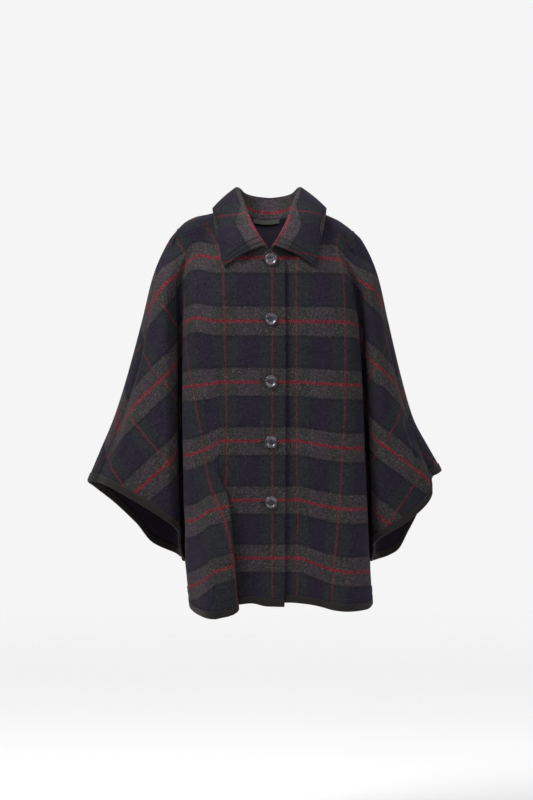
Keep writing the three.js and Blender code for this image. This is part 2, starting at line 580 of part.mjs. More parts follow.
// the roll stands a little closer to the neck on the wearer's left
const narrow = (side, roll) => ({ ...roll, x: roll.x * (side.name === "left" ? 0.94 : 1) });
function collarStations(side) {
  const sheet = side.name === "right" ? rightSheet : leftSheet;
  const list = [];
  for (const u of COLUMNS.filter((c) => c >= 6 && c < 70)) {
    const base = frontTop(side, u);
    const roll = { x: collarFront.rollX(u), y: collarFront.rollY(u), z: collarFront.rollZ(u) };
    const x = collarFront.edgeX(u), z = collarFront.edgeZ(u);
    const edge = { x, y: Math.min(-30, frontY(sheet, side.sign * x, z)) - collarFront.lift(u), z };
    list.push({ base, roll: narrow(side, roll), edge, arch: 4 });
  }
  const first = 3 + SEAM_COLUMNS.length - 2;
  for (let i = first; i < BACK_COLUMNS.length; i++) {
    const at = (i - first) / (BACK_COLUMNS.length - 1 - first);
    const roll = { x: collarBack.rollX(at), y: collarBack.rollY(at), z: collarBack.rollZ(at) };
    const edge = { x: collarBack.edgeX(at), y: collarBack.edgeY(at), z: collarBack.edgeZ(at) };
    list.push({ base: backTop(side, i).seam, roll: narrow(side, roll), edge, arch: 1.5 + 2.5 * at });
  }
  return list;
}
function collarSheet() {
  const sheet = newSheet();
  for (const side of [RIGHT, LEFT]) {
    const columns = collarStations(side).map(collarColumn);
    addGrid(sheet, columns, side.sign, (i, j) => j === 0, true);
  }
  return sheet;
}
const collarCloth = collarSheet();

const sheets = [rightSheet, leftSheet, backCloth, collarCloth];
joinNormals(sheets);
// points of the back between two seam points of a front take the normals between theirs
for (const side of [RIGHT, LEFT]) {
  const ids = backCloth.upper[side.name], n = backCloth.normals;
  for (const i of [1, 2]) n[ids[i][0]] = n[ids[0][0]].clone().lerp(n[ids[3][0]], i / 3).normalize();
}
sheets.forEach(drawBack);
for (const side of [RIGHT, LEFT]) {
  for (const i of [0, 1, 2]) {
    const k = backCloth.upper[side.name][i][0];
    backCloth.points[k].addScaledVector(backCloth.inner.get(k), 0.12);
  }
}

// Tape folded over an edge: ids is a list of [edge point, point one tape width in] of the sheet.
function tapeAlong(sheet, ids) {
  const points = [], triangles = [], ring = 12;
  const close = WALL / 2 + TAPE_GAP, far = close + TAPE;
  for (const [edge, inside] of ids) {
    const p = sheet.points[edge], q = sheet.points[inside];
    const n = sheet.normals[edge], m = sheet.normals[inside];
    const out = p.clone().sub(q);
    out.addScaledVector(n, -out.dot(n)).normalize();
    const at = (o, normal, along, away) =>
      points.push(o.clone().addScaledVector(normal, along).addScaledVector(out, away));
    at(q, m, far, 0); at(p, n, far, 0); at(p, n, far * 0.6, TAPE_GAP + TAPE);
    at(p, n, -far * 0.6, TAPE_GAP + TAPE); at(p, n, -far, 0); at(q, m, -far, 0);
    at(q, m, -close, 0); at(p, n, -close, 0); at(p, n, -close, 0.5);
    at(p, n, close, 0.5); at(p, n, close, 0); at(q, m, close, 0);
  }
  for (let i = 0; i + 1 < ids.length; i++) {
    for (let k = 0; k < ring; k++) {
      const a = i * ring + k, b = i * ring + (k + 1) % ring;
      // the legs split their quads as the cloth beneath does
      if (k === 4 || k === 10) triangles.push([a, b, a + ring], [b, b + ring, a + ring]);
      else triangles.push([a, b, b + ring], [a, b + ring, a + ring]);
    }
  }
  const cap = (start, flip) => {
    for (let k = 0; k < 5; k++) {
      const [a, b, c, d] = [k, k + 1, ring - 2 - k, ring - 1 - k].map((j) => start + j);
      const pair = [[a, c, b], [a, d, c]];
      pair.forEach((t) => triangles.push(flip ? [t[0], t[2], t[1]] : t));
    }
  };
  cap(0, false);
  cap((ids.length - 1) * ring, true);
  return { points, triangles };
}
const volume = ({ points, triangles }) => triangles.reduce((sum, [a, b, c]) =>
  sum + points[a].dot(points[b].clone().cross(points[c])) / 6, 0);
function outward(solid) {
  if (volume(solid) >= 0) return solid;
  return { points: solid.points, triangles: solid.triangles.map(([a, b, c]) => [a, c, b]) };
}
const endPair = (column) => [column[column.length - 1], column[column.length - 2]];

// materials
const cloth = new THREE.MeshStandardMaterial({ color: "#30303c", roughness: 0.95, metalness: 0 });
const tape = new THREE.MeshStandardMaterial({ color: "#3c352e", roughness: 0.9, metalness: 0 });
const horn = new THREE.MeshStandardMaterial({ color: "#3a363c", roughness: 0.3, metalness: 0 });

const group = new THREE.Group();
const add = (name, solid, material) => group.add(meshOf(name, outward(solid), material));
add("front_right", thicken(rightSheet, WALL), cloth);
add("front_left", thicken(leftSheet, WALL), cloth);
add("back", thicken(backCloth, WALL), cloth);
add("collar", thicken(collarCloth, COLLAR_WALL), cloth);
for (const [side, sheet] of [[RIGHT, rightSheet], [LEFT, leftSheet]]) {
  const fold = COLUMNS.indexOf(FOLD_COLUMN);
  add(`cuff_tape_front_${side.name}`, tapeAlong(sheet, sheet.upper.slice(fold + 1).map(endPair)), tape);
  add(`hem_tape_front_${side.name}`, tapeAlong(sheet, sheet.lower.map(endPair)), tape);
  const backFold = BACK_COLUMNS.indexOf(BACK_CENTRE - FOLD_COLUMN);
  add(`cuff_tape_back_${side.name}`,
    tapeAlong(backCloth, backCloth.upper[side.name].slice(0, backFold).map(endPair)), tape);
}
add("hem_tape_back", tapeAlong(backCloth, [
  ...backCloth.lower.right.map(endPair),
  ...backCloth.lower.left.slice(0, -1).reverse().map(endPair),
]), tape);

// Buttons: raised rim, dished middle, four holes.
const wasm = await Manifold();
wasm.setup();
const BUTTON_PROFILE = [
  { r: 0, h: 0 }, { r: 9.6, h: 0 }, { r: 12.2, h: 1.6 }, { r: 11.9, h: 3.3 }, { r: 10.6, h: 4.2 },
  { r: 8.6, h: 3.7 }, { r: 6.6, h: 2.6 }, { r: 0, h: 2.3 },
];
const HOLE_RADIUS = 1.15, HOLE_PLACE = 2.3;
function buttonSolid() {
  const scale = BUTTON_RADIUS / 12.2;
  const outline = BUTTON_PROFILE.map(({ r, h }) => [r * scale, h]);
  let solid = wasm.Manifold.revolve([outline], 24);
  for (const [sx, sy] of [[1, 1], [1, -1], [-1, 1], [-1, -1]]) {
    const drill = wasm.Manifold.cylinder(8, HOLE_RADIUS, HOLE_RADIUS, 6)
      .translate([sx * HOLE_PLACE, sy * HOLE_PLACE, -2]);
    solid = solid.subtract(drill);
  }
  const mesh = solid.getMesh(), points = [], triangles = [];
  for (let i = 0; i < mesh.vertProperties.length; i += mesh.numProp) {
    points.push(new THREE.Vector3(...mesh.vertProperties.slice(i, i + 3)));
  }
  for (let i = 0; i < mesh.triVerts.length; i += 3) {
    triangles.push([...mesh.triVerts.slice(i, i + 3)]);
  }
  return { points, triangles };
}
const buttonShape = buttonSolid();
BUTTON_Z.forEach((z, i) => {
  const at = (dx, dz) => frontY(rightSheet, BUTTON_X + dx, z + dz);
  const slope = (at(0, 10) - at(0, -10)) / 20, tilt = -Math.atan(slope);
  let y = 0;
  for (let k = 0; k < 16; k++) {
    const a = k * Math.PI / 8, dx = BUTTON_RADIUS * Math.cos(a), dz = BUTTON_RADIUS * Math.sin(a);
    y = Math.min(y, at(dx, dz) - slope * dz, at(dx / 2, dz / 2) - slope * dz / 2);
  }
  const turn = new THREE.Matrix4().makeRotationX(Math.PI / 2 + tilt);
  const points = buttonShape.points.map((p) => p.clone().applyMatrix4(turn)
    .add(new THREE.Vector3(BUTTON_X, y - WALL / 2 - 0.5, z)));
  add(`button_${i + 1}`, { points, triangles: buttonShape.triangles }, horn);
});

// Hanging loop: a short flat band inside the back neck, its ends close to the back.
const LOOP_HALF = 26, LOOP_HEIGHT = 8, LOOP_WALL = 1.6, LOOP_STEPS = 12, LOOP_Z = 2;
function loopSolid() {
  const sheet = newSheet(), columns = [];
  for (let i = 0; i <= LOOP_STEPS; i++) {
    const t = i / LOOP_STEPS * 2 - 1, x = -6 + t * LOOP_HALF;
    const away = 1.2 + 6 * (1 - t * t), sag = 3 * (1 - t * t);
    const back = backInner(x, LOOP_Z - sag);
    const y = Math.min(back, backInner(x, LOOP_Z - sag + LOOP_HEIGHT)) - away;
    columns.push([1, 0.5, 0].map((k) => ({ x, y, z: LOOP_Z - sag + k * LOOP_HEIGHT })));
  }
  addGrid(sheet, columns, 1, () => false);
  sheet.normals = normalsOf(sheet);
  return thicken(sheet, LOOP_WALL);
}
// depth of the back cloth's inner face at a place seen from the front
function backInner(x, z) {
  const flipped = { points: backCloth.points.map((p) => new THREE.Vector3(p.x, -p.y, p.z)),
    triangles: backCloth.triangles };
  return -frontY(flipped, x, z) - WALL / 2;
}
add("hanging_loop", loopSolid(), cloth);

export default group;
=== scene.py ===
import math

import bpy
import numpy as np
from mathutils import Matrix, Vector


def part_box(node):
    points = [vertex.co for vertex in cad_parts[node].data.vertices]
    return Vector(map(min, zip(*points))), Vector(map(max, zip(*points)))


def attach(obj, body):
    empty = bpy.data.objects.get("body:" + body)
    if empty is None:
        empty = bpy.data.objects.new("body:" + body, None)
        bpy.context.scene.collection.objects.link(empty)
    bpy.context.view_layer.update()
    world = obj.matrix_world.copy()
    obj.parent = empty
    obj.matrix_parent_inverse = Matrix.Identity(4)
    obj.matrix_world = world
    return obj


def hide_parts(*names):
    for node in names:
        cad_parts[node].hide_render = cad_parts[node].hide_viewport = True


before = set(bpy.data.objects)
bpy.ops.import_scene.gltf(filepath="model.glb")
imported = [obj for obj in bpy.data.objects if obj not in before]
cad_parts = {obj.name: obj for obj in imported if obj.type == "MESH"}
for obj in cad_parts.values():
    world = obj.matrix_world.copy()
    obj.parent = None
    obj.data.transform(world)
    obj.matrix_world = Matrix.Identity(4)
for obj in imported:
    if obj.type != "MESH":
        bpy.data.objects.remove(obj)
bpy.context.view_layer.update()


# Fronts: two large panels, each cut in one with its half sleeve, from thick wool that is checked
# outside and plain navy inside. They are sewn to the back along the shoulder and down the arm and
# hang from that seam and the collar. The cloth falls in a deep fold between body and sleeve.
def smooth_table(names, *rows):
    """A smooth curve for each column over the first one, flat beyond its ends."""
    names = names.split()
    rows = np.array(sorted(rows), float)
    xs = rows[:, 0]

    def curve(ys):
        slope = np.diff(ys) / np.diff(xs)
        tangent = np.concatenate([slope[:1], slope[:-1], slope[-1:]])
        for i in range(1, len(xs) - 1):
            a, b = slope[i - 1], slope[i]
            tangent[i] = 0 if a * b <= 0 else 2 * a * b / (a + b)

        def at(x):
            x = np.clip(np.asarray(x, float), xs[0], xs[-1])
            i = np.clip(np.searchsorted(xs, x, side="right") - 1, 0, len(xs) - 2)
            h = xs[i + 1] - xs[i]
            t = (x - xs[i]) / h
            return ((2 * t**3 - 3 * t**2 + 1) * ys[i] + (t**3 - 2 * t**2 + t) * h * tangent[i]
                    + (3 * t**2 - 2 * t**3) * ys[i + 1] + (t**3 - t**2) * h * tangent[i + 1])
        return at
    return {name: curve(rows[:, i + 1]) for i, name in enumerate(names[1:])}


def mix(a, b, t):
    return a + (b - a) * t


def smooth(a, b, x):
    t = np.clip((x - a) / (b - a), 0, 1)
    return t * t * (3 - 2 * t)


def bump(t):
    return np.where(np.abs(t) < 1, np.cos(np.clip(t, -1, 1) * math.pi / 2) ** 2, 0.0)


WALL = 2.4
OVERLAP_DEPTH = 6.4
CUFF_TAPE_WIDTH, HEM_TAPE_WIDTH = 16, 12
# u counts columns of cloth from the placket: the fold between body and sleeve, its outer lip, the
# arm seam, the sleeve's ridge and the back centre
FOLD_U, LIP_U, SEAM_U, RIDGE_U, BACK_U = 246, 312, 464, 484, 968
SIDE_SEAM_TOP = -676

body = smooth_table(
    "z front crest_y lip_y fold back",
    (-36, 84, 50, 48, 0, 80), (-106, 95, 73, 68, 20, 92), (-198, 108, 92, 82, 44, 100),
    (-320, 116, 101, 90, 64, 105), (-456, 118, 105, 92, 84, 107), (-556, 117, 107, 88, 93, 106),
    (-664, 116, 107, 76, 100, 105), (-692, 116, 107, 74, 107, 105), (-790, 116, 106, 74, 106, 105))
neck_back = smooth_table(
    "at x y z rx ry rz",
    (0, 64, -8, 33, 67, 14, 36), (0.3, 61, 22, 29, 71, 36, 22), (0.55, 48, 50, 19, 55, 61, 6),
    (0.8, 22, 66, 11, 25, 77, -6), (1, 0, 70, 9, 0, 82, -10))
neck_front = smooth_table(
    "u x y z",
    (-32, -32, -94, -84), (-14, -14, -93, -70), (6, 6, -90, -57), (22, 22, -82, -45),
    (40, 38, -68, -28), (56, 53, -42, -2), (64, 60, -24, 18), (70, 64, -8, 33))
right = {
    "name": "right", "sign": -1,
    **smooth_table(
        "z crest gap ridge",
        (-16, 130, 46, 183), (-36, 142, 40, 199), (-106, 163, 24, 231), (-198, 168, 17, 254),
        (-320, 169, 15, 287), (-394, 169, 15, 311), (-456, 168, 15, 337), (-516, 167, 15, 362),
        (-664, 163, 14, 418), (-790, 151, 14, 455)),
    "shoulder": smooth_table(
        "at x y z rx ry rz",
        (0, 64, -8, 33, 67, 14, 36), (0.22, 90, -24, 14, 91, 7, 26), (0.45, 117, -31, 0, 117, 5, 16),
        (0.7, 145, -32, -12, 145, 3, 10), (0.85, 166, -30, -20, 166, 1, 0),
        (1, 189, -24, -32, 183, 0, -16)),
    "arm": smooth_table(
        "z x y",
        (-32, 189, -24), (-106, 212, -27), (-160, 228, -27), (-270, 253, -27), (-424, 303, -26),
        (-520, 343, -24)),
    "cuff": smooth_table(
        "u front back",
        (246, -676, -676), (262, -665, -677), (290, -642, -676), (312, -616, -672),
        (332, -596, -662), (356, -572, -644), (378, -554, -604), (424, -526, -552),
        (464, -517, -528), (484, -515, -516)),
    "hem": smooth_table(
        "u front back",
        (-32, -758, -764), (6, -757, -764), (40, -751, -763), (70, -754, -762), (88, -757, -760),
        (98, -762, -759), (108, -775, -758), (118, -779, -757), (135, -778, -756),
        (160, -772, -752), (180, -762, -748), (200, -752, -744), (246, -740, -740)),
    "flutes": {"front": [(112, 46, 40, -400, 0)], "back": [(96, 55, 20, -380, 0)]},
    # how the check lies on the body: x of the first and second warp stripe, and the weft's droop
    "check": smooth_table(
        "z first second droop start",
        (0, 110, 200, 0, 95), (-64, 98, 186, 0, 95), (-106, 91, 178, 0, 95), (-226, 88, 171, 0, 95),
        (-320, 86, 152, 8, 95), (-366, 85, 143, 12, 95), (-438, 84, 131, 26, 95),
        (-516, 82, 120, 34, 97), (-580, 80, 110, 43, 92), (-672, 76, 98, 58, 86),
        (-760, 70, 89, 62, 86)),
    "stripes": (91, 185),
    "wing": {"turn": 42, "p": 276, "s": 279, "s_scale": 0.94, "v": 85, "t_scale": 0.9},
}
left = {
    "name": "left", "sign": 1,
    **smooth_table(
        "z crest gap ridge",
        (-20, 122, 48, 167), (-36, 134, 44, 183), (-106, 156, 26, 215), (-198, 172, 17, 236),
        (-320, 180, 15, 265), (-394, 183, 15, 287), (-456, 185, 15, 320), (-496, 187, 15, 342),
        (-664, 194, 14, 398), (-790, 202, 14, 430)),
    "shoulder": smooth_table(
        "at x y z rx ry rz",
        (0, 64, -8, 33, 67, 14, 36), (0.22, 88, -25, 15, 90, 7, 25), (0.45, 113, -33, 0, 114, 5, 13),
        (0.7, 134, -38, -20, 136, 3, 3), (0.85, 148, -39, -36, 152, 1, -8),
        (1, 161, -37, -54, 167, 0, -20)),
    "arm": smooth_table(
        "z x y",
        (-54, 161, -37), (-74, 172, -37), (-100, 189, -33), (-130, 204, -30), (-250, 236, -27),
        (-388, 273, -26), (-522, 328, -23)),
    "cuff": smooth_table(
        "u front back",
        (246, -676, -676), (262, -670, -677), (290, -652, -678), (312, -638, -678),
        (332, -622, -674), (356, -605, -660), (378, -588, -618), (424, -545, -540),
        (464, -506, -504), (484, -496, -496)),
    "hem": smooth_table(
        "u front back",
        (-32, -750, -764), (32, -750, -763), (60, -752, -762), (90, -758, -760),
        (130, -766, -758), (160, -764, -753), (180, -756, -749), (200, -748, -744),
        (246, -740, -740)),
    "flutes": {"front": [(150, 48, 20, -400, 6)], "back": [(88, 55, 22, -400, 0)]},
    "check": smooth_table(
        "z first second droop start",
        (0, 52, 160, 0, 60), (-36, 52, 154, 0, 60), (-80, 52, 147, 0, 60), (-324, 52, 148, 6, 60),
        (-450, 53, 143, 15, 60), (-568, 54, 137, 19, 60), (-690, 54, 130, 28, 60),
        (-760, 54, 126, 30, 60)),
    "stripes": (91, 185),
    "wing": {"turn": 36, "p": 345, "s": 373, "s_scale": 0.92, "v": 104, "t_scale": 1.0},
}
# the flute on the right front folds over itself toward the hem: u at its middle, and how far
overlap_fold = smooth_table(
    "z u shift", (-436, 108, 0), (-496, 105, 10), (-544, 102, 32), (-600, 99, 38), (-662, 95, 38),
    (-780, 90, 35))
OVERLAP_FOLD_HALF = 25

# knots of one level line of the cloth, from the front centre (0) over the crest of the body, into
# the fold (246), out to the sleeve and round to its ridge (484); the back mirrors them to 968
KNOT_U = [0, 60, 115, 150, 176, 200, 222, 238, 246, 254, 270, 292, 312, 332, 378, 424, 464, 484]


def level_knots(side, z, back):
    c, w, ridge = side["crest"](z), side["gap"](z), side["ridge"](z)
    centre = body["back" if back else "front"](z)
    crest = body["crest_y"](z) - (3 if back else 0)
    lip = body["lip_y"](z) - (2 if back else 0)
    fold = body["fold"](z)
    depth = fold - (3 if back else 0) * np.clip(fold / 60, 0, 1)
    rounded, deep = smooth(-706, -640, z), smooth(0.2, 2.2, depth / w)
    reach = np.minimum(18, 0.3 * (ridge - c - w))
    knots = [(0 * z, centre), (60 * c / 173, centre + 1),
             (115 * c / 173, mix(centre, crest, 0.35) + 2), (c - 20, crest + 2)]
    for e in (-1, -0.68, -0.36, -0.12, 0, 0.12, 0.36, 0.68, 1):
        sag = mix(0.5 + 0.5 * math.cos(math.pi * e), 1 - abs(e) ** 1.25, deep)
        k = mix(0.6, 5.5, deep)
        cup = np.tanh(k * e) / np.tanh(k)
        flat = -1 + 0.7 * (e + 1) if e <= 0 else -0.3 + 1.3 * e
        top = mix(crest, lip, (e + 1) / 2) - 20 * deep * abs(e)
        knots.append((c + w / 2 + w / 2 * mix(flat, cup, rounded), mix(top, crest - depth, sag)))
    knots += [(c + w + reach, lip), (mix(c + w + reach, ridge, 0.36), lip * 0.9),
              (mix(c + w + reach, ridge, 0.7), lip * 0.62),
              (ridge - 16, 24 + 0 * z) if back else (side["arm"]["x"](z), -side["arm"]["y"](z)),
              (ridge, 0 * z)]
    return np.array([[x + 0 * z, y + 0 * z] for x, y in knots])


def through_knots(knots, u):
    last = len(KNOT_U) - 1
    i = min(last - 1, max(0, int(np.searchsorted(KNOT_U, u)) - 1))

    def slope(j):
        if j == 0:
            d = (knots[1] - knots[0]) / (KNOT_U[1] - KNOT_U[0])
            return d * np.array([[1], [0]])
        if j == last:
            d = (knots[j] - knots[j - 1]) / (KNOT_U[j] - KNOT_U[j - 1])
            return d * np.array([[0], [1.3]])
        return (knots[j + 1] - knots[j - 1]) / (KNOT_U[j + 1] - KNOT_U[j - 1])
    h = KNOT_U[i + 1] - KNOT_U[i]
    t = (u - KNOT_U[i]) / h
    return ((2 * t**3 - 3 * t**2 + 1) * knots[i] + (t**3 - 2 * t**2 + t) * h * slope(i)
            + (3 * t**2 - 2 * t**3) * knots[i + 1] + (t**3 - t**2) * h * slope(i + 1))


def drape(side, u, z):
    """x outward, y and the level x without flutes, for cloth column u at heights z."""
    z = np.asarray(z, float)
    back = u > RIDGE_U
    v = BACK_U - u if back else u
    x, y = through_knots(level_knots(side, z, back), v)
    level_x = x.copy()
    for place, half, rise, top, lean in side["flutes"]["back" if back else "front"]:
        grow = smooth(top, -790, z) * smooth(215, 170, v)
        y = y + rise * grow * bump((x - place) / half)
        x = x - lean * grow * bump((x - place + half * 0.55) / (half * 0.72))
    if side["name"] == "right" and not back:
        t = (v - overlap_fold["u"](z)) / OVERLAP_FOLD_HALF
        turned = np.where(np.abs(t) < 1, overlap_fold["shift"](z) * np.sin(math.pi * t), 0)
        x = x - turned * np.cos(math.pi * np.clip(t, -1, 1) / 2)
        y = y + 0.11 * turned
    if not back:
        y = -y
    if side["name"] == "left" and not back:
        y = y + OVERLAP_DEPTH * smooth(64, 40, v)
    return x, y, level_x


shoulder_place = smooth_table(
    "u at", (70, 0), (115, 0.35), (155, 0.55), (246, 0.74), (323, 0.86), (390, 0.93), (464, 1))["at"]


def front_top(side, u):
    if u <= 70:
        deeper = OVERLAP_DEPTH * smooth(64, 40, u) if side["name"] == "left" else 0
        return np.array([neck_front["x"](u), neck_front["y"](u) + deeper, neck_front["z"](u)])
    at = shoulder_place(u)
    return np.array([side["shoulder"][k](at) for k in "xyz"])


def lower_end(side, u):
    if not FOLD_U <= u <= BACK_U - FOLD_U:
        return SIDE_SEAM_TOP
    return float(side["cuff"]["front"](u) if u <= RIDGE_U else side["cuff"]["back"](BACK_U - u))


def hem_end(side, u):
    return float(side["hem"]["front"](u) if u <= RIDGE_U else side["hem"]["back"](BACK_U - u))


# rows down a column: close together over the shoulder, then even, then the width of the tape
SHOULDER_ROWS, SHOULDER_PART = 12, 0.085
UPPER_ROWS = np.concatenate([np.linspace(0, SHOULDER_PART, SHOULDER_ROWS, endpoint=False),
                             np.linspace(SHOULDER_PART, 1, 126)])
LOWER_ROWS = np.linspace(0, 1, 16)
TAPE_ROWS = 5


def heights(top, end, rows, tape):
    down = mix(top, end + tape, rows)
    return np.concatenate([down, np.linspace(end + tape, end, TAPE_ROWS + 1)[1:]])


def settle(top, x, y, z, reach, spread, held=0.0):
    """Cloth leaves its seam and comes to the drape within reach below it."""
    d = top[2] - z
    gy = np.maximum(np.sin(np.clip(d / reach, 0, 1) * math.pi / 2), held)
    gx = np.maximum(smooth(0, reach * spread, d), held)
    return mix(top[0], x, gx), mix(top[1], y, gy)


def front_column(side, u):
    v = abs(u)
    top, start = front_top(side, v), front_top(side, u)[2]
    reach = mix(70, 120, smooth(20, 70, v)) * mix(1, 0.7, smooth(300, 464, v))
    spread = mix(1, 0.4, smooth(340, 464, v))
    parts = [heights(start, lower_end(side, u), UPPER_ROWS, CUFF_TAPE_WIDTH if u >= FOLD_U else 0.1)]
    if u <= FOLD_U:
        parts.append(heights(SIDE_SEAM_TOP, hem_end(side, u), LOWER_ROWS, HEM_TAPE_WIDTH)[1:])
    out = []
    for z in parts:
        x, y, level_x = drape(side, v, z)
        x, y = settle(top, x, y, z, reach, spread, smooth(430, 464, v))
        flip = -1 if u < 0 else 1
        out.append(np.stack([flip * x, y, z, flip * level_x], 1))
    return out


def fine_columns(coarse, step):
    """Places between the cut's own columns, about one step apart on the cloth."""
    fine = []
    for a, b in zip(coarse[:-1], coarse[1:]):
        n = max(1, round((b - a) / step))
        fine += [a + (b - a) * k / n for k in range(n)]
    return fine + [coarse[-1]]


front_u = fine_columns([-32, 0, 60, 115, 150, 176, 200, 222, 238, 246, 254, 270, 292, 312, 332, 378,
                        424, 445, 464], 2.6)


# The check: warp stripes 94 apart and weft stripes 120 apart. On the body the cloth hangs straight
# from the neck, on the sleeve it is turned by the slope of the arm, and the fold takes the change.
WARP_STEP, WEFT_STEP = 94.0, 120.0
FIRST_WARP, FIRST_WEFT = -3.0, 80.0
weft_fall = smooth_table(
    "z shift", (-672, 8), (-556, 4), (-438, 2), (-320, 0), (-198, 2), (-70, 10), (0, 12))["shift"]


# The front is nearer the eye than the arms are, so its rows spread out from the eye's height.
EYE_HEIGHT, BODY_PERSPECTIVE, WING_PERSPECTIVE = -356, 1.024, 1.017


DROOP_END = 168


def from_eye_height(z, by):
    return EYE_HEIGHT + by * (z - EYE_HEIGHT)


def body_check(side, level_x, z, back):
    """Cloth coordinates on the body: along the weft from the front centre, and down the warp."""
    x = level_x
    if back:
        return x + WARP_STEP / 2 + FIRST_WARP, -z + 55
    near, far = side["check"]["first"](z), side["check"]["second"](z)
    s1, s2 = side["stripes"]
    middle = -5 if side["name"] == "right" else 0
    s = FIRST_WARP + (s1 - FIRST_WARP) * (x - middle) / (near - middle)
    s = np.where(x > near, s1 + (s2 - s1) * (x - near) / (far - near), s)
    s = np.where(x > far, s2 + (x - far), s)
    start = side["check"]["start"](z)
    part = np.clip((x - start) / (DROOP_END - start), 0, 1)
    droop = side["check"]["droop"](z) * np.sin(math.pi / 2 * part)
    lift = 7 * bump((x - 145) / 40) * smooth(-330, -240, z) if side["name"] == "right" else 0
    return s, -from_eye_height(z, BODY_PERSPECTIVE) + weft_fall(z) - droop + lift


def wing_check(side, reach, z):
    g = side["wing"]
    turn = math.radians(g["turn"])
    z = from_eye_height(z, WING_PERSPECTIVE)
    p = reach * math.cos(turn) - z * math.sin(turn)
    v = -reach * math.sin(turn) - z * math.cos(turn)
    return g["s"] + g["s_scale"] * (p - g["p"]), 200 + g["t_scale"] * (v - g["v"])


LEVELS = np.linspace(60, -820, 89)


def wing_reach(side, columns):
    """For each column, how far out it lies along the sleeve's level lines, as curves over height."""
    lip_x = drape(side, LIP_U, LEVELS)[0]

    def lengths(us):
        line = np.array([drape(side, u, LEVELS)[:2] for u in us])
        step = np.hypot(*np.moveaxis(np.diff(line, axis=0), 1, 0))
        return np.concatenate([np.zeros((1, len(LEVELS))), np.cumsum(step, 0)])
    front_us = list(np.linspace(FOLD_U, SEAM_U, 60))
    front_far = lengths(front_us)
    at_lip = np.array([np.interp(LIP_U, front_us, front_far[:, k]) for k in range(len(LEVELS))])
    front_far = front_far - at_lip + lip_x
    seam = front_far[-1]
    strip = np.hypot(side["ridge"](LEVELS) - side["arm"]["x"](LEVELS),
                     side["arm"]["y"](LEVELS)) * 1.04
    back_us = list(np.linspace(RIDGE_U, BACK_U - FOLD_U, 60))
    back_far = seam - strip - lengths([RIDGE_U + 0.01] + back_us[1:])
    out = []
    for u in columns:
        if u <= SEAM_U:
            u = max(abs(u), FOLD_U)
            row = [np.interp(u, front_us, front_far[:, k]) for k in range(len(LEVELS))]
        elif u < RIDGE_U:
            row = seam - strip * (u - SEAM_U) / (RIDGE_U - SEAM_U)
        else:
            row = [np.interp(u, back_us, back_far[:, k]) for k in range(len(LEVELS))]
        out.append(np.array(row))
    return out


def cloth_check(side, u, points, reach_row, back):
    x, z, level_x = points[:, 0], points[:, 2], points[:, 3]
    s1, t1 = body_check(side, level_x, z, back)
    s2, t2 = wing_check(side, np.interp(-z, -LEVELS, reach_row), z)
    v = BACK_U - u if back else abs(u)
    start = mix(140, 176, smooth(-200, -420, z))
    w = smooth(start, 300, v)
    return np.stack([mix(s1, s2, w), mix(t1, t2, w)], 1)


# soft creases: from x, z to x, z, half width and height out of the cloth
CREASES = {
    ("right", "front"): [
        (60, -110, 150, -250, 30, 2.6), (40, -150, 120, -420, 26, -2.0), (95, -300, 160, -400, 22, 2.2),
        (20, -260, 60, -330, 20, -1.4), (120, -470, 165, -640, 20, -2.8), (30, -420, 70, -600, 24, 1.8),
        (30, -650, 55, -750, 18, 2.0), (215, -180, 250, -330, 16, -2.6), (240, -300, 290, -480, 18, 2.6),
        (205, -380, 225, -560, 14, -2.4), (270, -420, 310, -500, 12, -2.2), (12, -100, 30, -180, 14, 1.2)],
    ("left", "front"): [
        (60, -120, 150, -230, 28, 2.4), (50, -180, 110, -430, 24, -1.8), (100, -330, 170, -440, 22, 2.0),
        (90, -470, 110, -640, 20, 2.2), (70, -500, 60, -730, 18, -2.4), (150, -500, 182, -660, 20, -2.0),
        (272, -385, 292, -500, 11, -9.0), (284, -420, 312, -500, 12, 3.5), (215, -300, 262, -480, 18, 2.6),
        (208, -440, 240, -590, 14, -2.6), (200, -150, 232, -300, 15, -2.2), (22, -110, 40, -200, 14, 1.2)],
    ("right", "back"): [
        (20, -60, 150, -260, 34, -3.4), (60, -120, 120, -420, 28, 2.8), (150, -120, 200, -300, 26, -2.6),
        (0, -300, 40, -560, 30, 2.2), (230, -200, 290, -420, 22, 3.0), (200, -360, 240, -600, 18, -3.0),
        (100, -480, 110, -740, 24, -2.8), (40, -560, 50, -740, 22, 2.4)],
    ("left", "back"): [
        (25, -70, 140, -240, 32, -3.0), (50, -150, 130, -460, 28, 2.6), (150, -140, 190, -330, 24, -2.4),
        (20, -420, 60, -640, 26, -2.2), (220, -220, 270, -430, 22, 2.8), (210, -380, 250, -600, 18, -2.8),
        (120, -500, 130, -740, 24, 2.6), (60, -600, 55, -745, 20, -2.0)],
}


def crease_depth(rows, x, z):
    total = np.zeros_like(x)
    for x0, z0, x1, z1, half, rise in rows:
        along, length = np.array([x1 - x0, z1 - z0]), math.hypot(x1 - x0, z1 - z0)
        t = ((x - x0) * along[0] + (z - z0) * along[1]) / length**2
        off = ((x - x0) * along[1] - (z - z0) * along[0]) / length
        wander = 5 * np.sin(t * 5 + x0)
        total += rise * bump((off - wander) / half) * np.sin(math.pi * np.clip(t, 0, 1)) ** 0.8 * (
            (t > 0) & (t < 1))
    return total


def grid_normals(P):
    du, dv = np.gradient(P, axis=0), np.gradient(P, axis=1)
    n = np.cross(du, dv)
    return n / np.maximum(np.linalg.norm(n, axis=2, keepdims=True), 1e-9)


